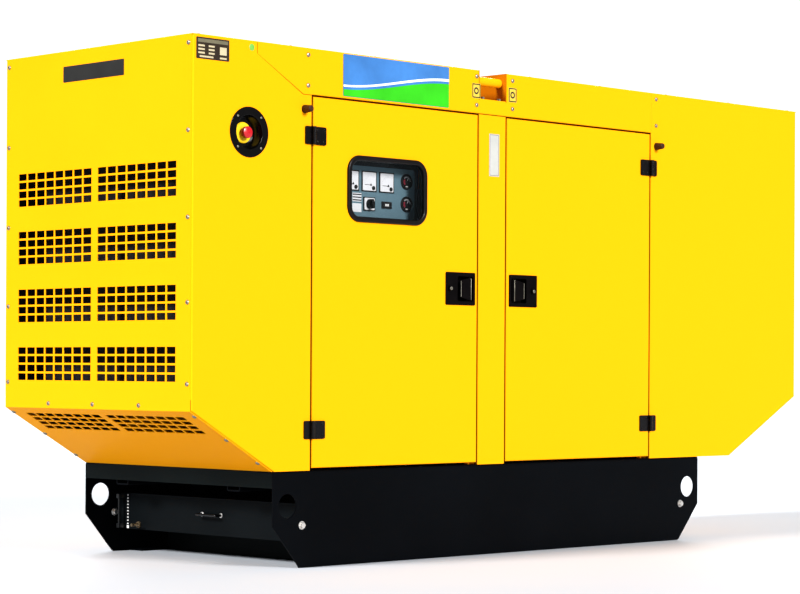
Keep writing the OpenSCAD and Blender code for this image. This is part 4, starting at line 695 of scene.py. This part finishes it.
# Hinges. Cast black leaves on steel pins, screwed to the side sheets and the
# doors, two to each door.
HINGE_BLACK = (0.0036, 0.0026, 0.0028, 1.0)
HINGE_FACE = -0.528
HINGE_Z = np.array([1.498, 0.477])
AXIS_X = {"left": (-1.1395, 1), "right": (0.7015, -1)}
LEAF_SCREW = (0.0045, 0.0016, 0.0020, 0.0012, 12)
LEAF_SCREW_X, LEAF_SCREW_Z = np.array([0.022, 0.050]), np.array([-0.020, 0.020])
hinge_black = mottled("hinge_black", HINGE_BLACK, 0.28, 0.25, 25.0, 900.0, 0.25, 0.00006)
dress(hinge_black, "fixed_hinge_leaves", "left_hinge_leaves", "right_hinge_leaves", "rear_door_fittings")
leaf_screw = button_screw(*LEAF_SCREW)
leaf_z = (HINGE_Z[:, None] + LEAF_SCREW_Z).ravel()
for label, (axis, into) in AXIS_X.items():
    leaf = grid(axis + into * LEAF_SCREW_X, [HINGE_FACE], leaf_z)
    leaf_screws = face_on(leaf_screw, leaf, FRONT)
    piece(f"{label}_leaf_screws", leaf_screws, hinge_black, f"{label}_door")

# Latches. Moulded black cases with a sprung paddle in a recess and a keyed
# lock beside it, screwed through the doors.
LATCH_BLACK = (0.0036, 0.0026, 0.0028, 1.0)
LATCH_X = {"left": (-0.396, 1), "right": (-0.054, -1)}
LATCH_Z = 0.986
PLATE_Y, LOCK_Y = -0.527, -0.532
LOCK_IN = 0.055
LOCK_FACE = ([0.0065, 0.0065, 0.0055], [-SEAT, 0.0010, 0.0018])
KEY_SLOT = (0.0018, 0.0075, 0.0005, 0.0024, 0.0002)
CASE_SCREW = (0.0038, 0.0018, 0.0016, 0.0012, 12)
CASE_SCREW_X = np.array([-0.069, 0.069])
CASE_SCREW_Z = LATCH_Z + np.array([-0.0515, 0.0515])
BARREL_IN, BARREL_Y, ROD_R, ROD_HALF = 0.0520, -0.5296, 0.0014, 0.040
TIP_IN, TIP_Y, BEAD_R, BEAD_HALF = -0.0010, -0.5295, 0.0012, 0.030


def round_rod(r, half):
    """A thin rod about its own middle, narrowed at both ends."""
    return turned([r * 0.6, r, r, r * 0.6], np.array([-1.0, -0.98, 0.98, 1.0]) * half, 12)


latch_black = mottled("latch_black", LATCH_BLACK, 0.34, 0.06, 30.0, 1100.0, 0.25, 0.00005)
dress(latch_black, "left_latch_case", "right_latch_case", "left_latch_paddle", "right_latch_paddle")
case_screw = button_screw(*CASE_SCREW)
lock_face, key_slot = turned(*LOCK_FACE), plate(*KEY_SLOT)
rod, bead = round_rod(ROD_R, ROD_HALF), round_rod(BEAD_R, BEAD_HALF)
for label, (middle, lean) in LATCH_X.items():
    door, paddle = f"{label}_door", f"{label}_latch"
    corners = grid(middle + CASE_SCREW_X, [PLATE_Y], CASE_SCREW_Z)
    lock = (middle - lean * LOCK_IN, LOCK_Y, LATCH_Z)
    case_screws = face_on(case_screw, corners, FRONT)
    piece(f"{label}_case_screws", case_screws, latch_black, door)
    piece(f"{label}_lock_face", face_on(lock_face, lock, FRONT), zinc, door)
    piece(f"{label}_key_slot", face_on(key_slot, lock, FRONT), print_black, door)
    barrel = (middle + lean * BARREL_IN, BARREL_Y, LATCH_Z)
    tip = (middle + lean * TIP_IN, TIP_Y, LATCH_Z)
    piece(f"{label}_paddle_rod", face_on(rod, barrel, *ON_TOP), zinc, paddle)
    piece(f"{label}_paddle_bead", face_on(bead, tip, *ON_TOP), zinc, paddle)

# Window. Clear toughened glass held in the door by a black rubber seal.
PANE_TINT = (0.020, 0.026, 0.028, 1.0)
PANE_COVER = 0.10
SEAL_BLACK = (0.0072, 0.0052, 0.0050, 1.0)
dress(mottled("seal_rubber", SEAL_BLACK, 0.30, 0.24, 40.0, 600.0, 0.3, 0.0001), "window_seal")
pane_glass, tree, shader, place = coat("pane_glass", PANE_TINT, 0.03)
shader.inputs["Alpha"].default_value = PANE_COVER
spread(tree, shader, grain(tree, place, 6.0), "Roughness", 0.01, 0.05)
dress(pane_glass, "window_pane")

# Stop button. A red mushroom head on a yellow collar, at the bottom of a
# glossy black dish held in the side sheet by four screws.
DISH_BLACK = (0.0035, 0.0032, 0.0034, 1.0)
COLLAR_YELLOW = (0.85, 0.55, 0.010, 1.0)
BUTTON_RED = (0.46, 0.009, 0.015, 1.0)
DISH_SCREW = (0.0048, 0.0024, 0.0020, 0.0015, 12)
DISH_SCREW_AT = np.array([-0.052, 0.052])
SKIRT_FOOT, SKIRT_R, SKIRT_HIGH = -0.5025, 0.0198, 0.0075
dress(mottled("dish_plastic", DISH_BLACK, 0.12, 0.28, 20.0, 900.0, 0.15, 0.00002), "stop_dish")
dress(mottled("collar_plastic", COLLAR_YELLOW, 0.4, 0.4, 40.0, 900.0, 0.05, 0.00002), "stop_collar")
button_plastic = mottled("button_plastic", BUTTON_RED, 0.28, 0.5, 40.0, 900.0, 0.08, 0.00002)
dress(button_plastic, "stop_button")
low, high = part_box("stop_button")
skirt_place = ((low.x + high.x) / 2, SKIRT_FOOT, (low.z + high.z) / 2)
skirt = turned(np.array([0.88, 0.97, 1.0, 1.0]) * SKIRT_R, np.array([0.0, 0.2, 0.5, 1.0]) * SKIRT_HIGH)
button_skirt = face_on(skirt, skirt_place, FRONT)
piece("button_skirt", button_skirt, button_plastic, "stop_button")
low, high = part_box("stop_dish")
dish_x, dish_z = (low.x + high.x) / 2 + DISH_SCREW_AT, (low.z + high.z) / 2 + DISH_SCREW_AT
dish_screws = face_on(button_screw(*DISH_SCREW), grid(dish_x, [low.y], dish_z), FRONT)
piece("dish_screws", dish_screws, zinc)

# Signs and plates. Printed sheet riveted or stuck to the canopy: a picture
# sign, a rating plate with empty fields, two framed plates and plain labels.
SIDE_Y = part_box("front_fascia")[0].y
SIGN_X, SIGN_Z, SIGN_T = -0.728, 1.7215, 0.0015
SIGN = (0.534, 0.149, 0.004, SIGN_T)
FILM_WIDE, FILM_T = 0.532, 0.0006
FIELD_LOW, FIELD_TOP = (-0.0735, -0.0735), (-0.050, 0.012)
RIBBON_LOW, RIBBON_TOP = (-0.041, 0.021), (-0.034, 0.030)
SIGN_BLUE = (0.050, 0.175, 0.430, 1.0)
SIGN_GREEN = (0.034, 0.440, 0.009, 1.0)
sign_blue = mottled("sign_blue", SIGN_BLUE, 0.35, 0.35, 9.0, 900.0, 0.15, 0.00002)
sign_green = mottled("sign_green", SIGN_GREEN, 0.35, 0.35, 9.0, 900.0, 0.12, 0.00002)


def sweep_band(low_edge, high_edge, wide, thick, steps=40):
    """A printed band between two curves across a width: each edge is its
    height at one side plus its climb times the smooth step 3 u^2 - 2 u^3."""
    u = np.linspace(0.0, 1.0, steps)
    ease = 3 * u ** 2 - 2 * u ** 3
    edges = [start + (stop - start) * ease for start, stop in (low_edge, high_edge)]
    x = (u - 0.5) * wide
    corners = [(edges[0], -SEAT), (edges[0], thick), (edges[1], thick), (edges[1], -SEAT)]
    run = np.stack([np.stack([x, edge, np.full(steps, height)], -1) for edge, height in corners], 1)
    ends = run.mean(1, keepdims=True) + np.zeros_like(run)
    return np.concatenate([ends[:1], run, ends[-1:]])


sign_place = (SIGN_X, SIDE_Y, SIGN_Z)
film_place = (SIGN_X, SIDE_Y - SIGN_T, SIGN_Z)
piece("side_sign", face_on(plate(*SIGN), sign_place, FRONT), sign_blue)
field = sweep_band(FIELD_LOW, FIELD_TOP, FILM_WIDE, FILM_T)
piece("sign_field", face_on(field, film_place, FRONT), sign_green)
ribbon = sweep_band(RIBBON_LOW, RIBBON_TOP, FILM_WIDE, FILM_T)
piece("sign_ribbon", face_on(ribbon, film_place, FRONT), print_white)

RATING_X, RATING_Z, RATING_T = -1.594, 1.754, 0.0012
RATING = (0.144, 0.072, 0.003, RATING_T)
HEADER, HEADER_UP = (0.132, 0.012, 0.001, 0.0005, 0.0001), 0.025
RATING_BROWN = (0.030, 0.019, 0.010, 1.0)
FIELD_CREAM = (0.48, 0.41, 0.26, 1.0)
HEADER_OLIVE = (0.145, 0.130, 0.082, 1.0)
FIELD_HIGH, FIELD_SOFT = 0.006, (0.0006, 0.0004, 0.0001)
FIELDS = [(-0.050, z, 0.028, FIELD_HIGH) for z in (0.008, -0.004, -0.016)]
FIELDS += [(-0.006, z, 0.026, FIELD_HIGH) for z in (0.008, -0.004, -0.016)]
FIELDS += [(0.045, -0.004, 0.030, 0.026)]
FIELDS += [(-0.028, -0.028, 0.060, FIELD_HIGH), (0.045, -0.028, 0.030, FIELD_HIGH)]
rating_brown = mottled("rating_brown", RATING_BROWN, 0.4, 0.3, 15.0, 900.0, 0.2, 0.00002)
field_cream = mottled("field_cream", FIELD_CREAM, 0.45, 0.3, 25.0, 900.0, 0.06, 0.00002)
header_olive = mottled("header_olive", HEADER_OLIVE, 0.4, 0.3, 25.0, 900.0, 0.1, 0.00002)
rating_place = np.array([RATING_X, SIDE_Y, RATING_Z])
print_place = rating_place - (0, RATING_T, 0)
piece("rating_plate", face_on(plate(*RATING), rating_place, FRONT), rating_brown)
header = face_on(plate(*HEADER), print_place + (0, 0, HEADER_UP), FRONT)
piece("rating_header", header, header_olive)
blanks = np.stack([plate(w, h, *FIELD_SOFT) + (x, z, 0) for x, z, w, h in FIELDS])
piece("rating_fields", face_on(blanks, print_place, FRONT), field_cream)

SMALL_X, SMALL_Z, SMALL_T = [-0.315, -0.116], 1.7225, 0.0010
SMALL = (0.046, 0.056, 0.003, SMALL_T)
SMALL_FRAME = (0.042, 0.052, 0.003, 0.0035, 0.0005)
SMALL_YELLOW = (0.62, 0.45, 0.060, 1.0)
MARK_RING_R, MARK_RING_T, MARK_RING_FLAT = 0.010, 0.0028, 0.3


def flat_frame(wide, high, r, border, thick):
    """A flat frame: a rectangular section, border wide and thick high, carried
    round the outline of a rectangle with round corners."""
    outer, inner = soft_box(wide, high, r), soft_box(wide - 2 * border, high - 2 * border, r - border)
    corners = [(outer, -SEAT), (outer, thick), (inner, thick), (inner, -SEAT)]
    return np.stack([np.concatenate([edge, np.full((len(edge), 1), height)], -1)
                     for edge, height in corners], 1)


small_yellow = mottled("small_yellow", SMALL_YELLOW, 0.4, 0.3, 30.0, 900.0, 0.05, 0.00002)
small_places = grid(SMALL_X, [SIDE_Y], [SMALL_Z])
mark_places = small_places - (0, SMALL_T, 0)
piece("small_plates", face_on(plate(*SMALL), small_places, FRONT), small_yellow)
small_frames = face_on(flat_frame(*SMALL_FRAME), mark_places, FRONT)
piece("small_frames", small_frames, print_black, round_u=True)
ring_mark = hoop(MARK_RING_R, MARK_RING_T, 28, 8) * (1, 1, MARK_RING_FLAT)
ring_marks = face_on(ring_mark, mark_places, FRONT)
piece("small_rings", ring_marks, print_black, round_u=True)

STICKER_X, STICKER_Z, STICKER_T = -0.2155, 1.4895, 0.0008
STICKER = (0.055, 0.159, 0.002, STICKER_T)
BORDER = (0.049, 0.153, 0.003, 0.0016, 0.0003)
LABEL_WHITE = (0.43, 0.43, 0.40, 1.0)
LABEL_GREY = (0.15, 0.15, 0.145, 1.0)
label_white = mottled("label_white", LABEL_WHITE, 0.5, 0.2, 20.0, 900.0, 0.05, 0.00002)
label_grey = mottled("label_grey", LABEL_GREY, 0.5, 0.2, 20.0, 900.0, 0.1, 0.00002)
sticker_place = np.array([STICKER_X, SIDE_Y, STICKER_Z])
piece("post_label", face_on(plate(*STICKER), sticker_place, FRONT), label_white)
border = face_on(flat_frame(*BORDER), sticker_place - (0, STICKER_T, 0), FRONT)
piece("post_label_frame", border, label_grey, round_u=True)

DOT_X, DOT_Z = -1.421, 1.777
DOT = ([0.012, 0.012, 0.0115], [-SEAT, 0.0006, 0.0009])
DOT_GREEN = (0.165, 0.430, 0.070, 1.0)
dot_green = mottled("dot_green", DOT_GREEN, 0.4, 0.3, 40.0, 900.0, 0.1, 0.00002)
piece("dot_label", face_on(turned(*DOT), (DOT_X, SIDE_Y, DOT_Z), FRONT), dot_green)

END_PLATE_Y, END_PLATE_Z = 0.0105, 1.718
END_PLATE = (0.341, 0.056, 0.003, 0.0012)
END_PLATE_GREY = (0.022, 0.0215, 0.020, 1.0)
end_grey = mottled("end_grey", END_PLATE_GREY, 0.4, 0.3, 15.0, 900.0, 0.15, 0.00002)
end_place = (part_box("near_end_panel")[0].x, END_PLATE_Y, END_PLATE_Z)
piece("end_plate", face_on(plate(*END_PLATE), end_place, NEAR_END), end_grey)
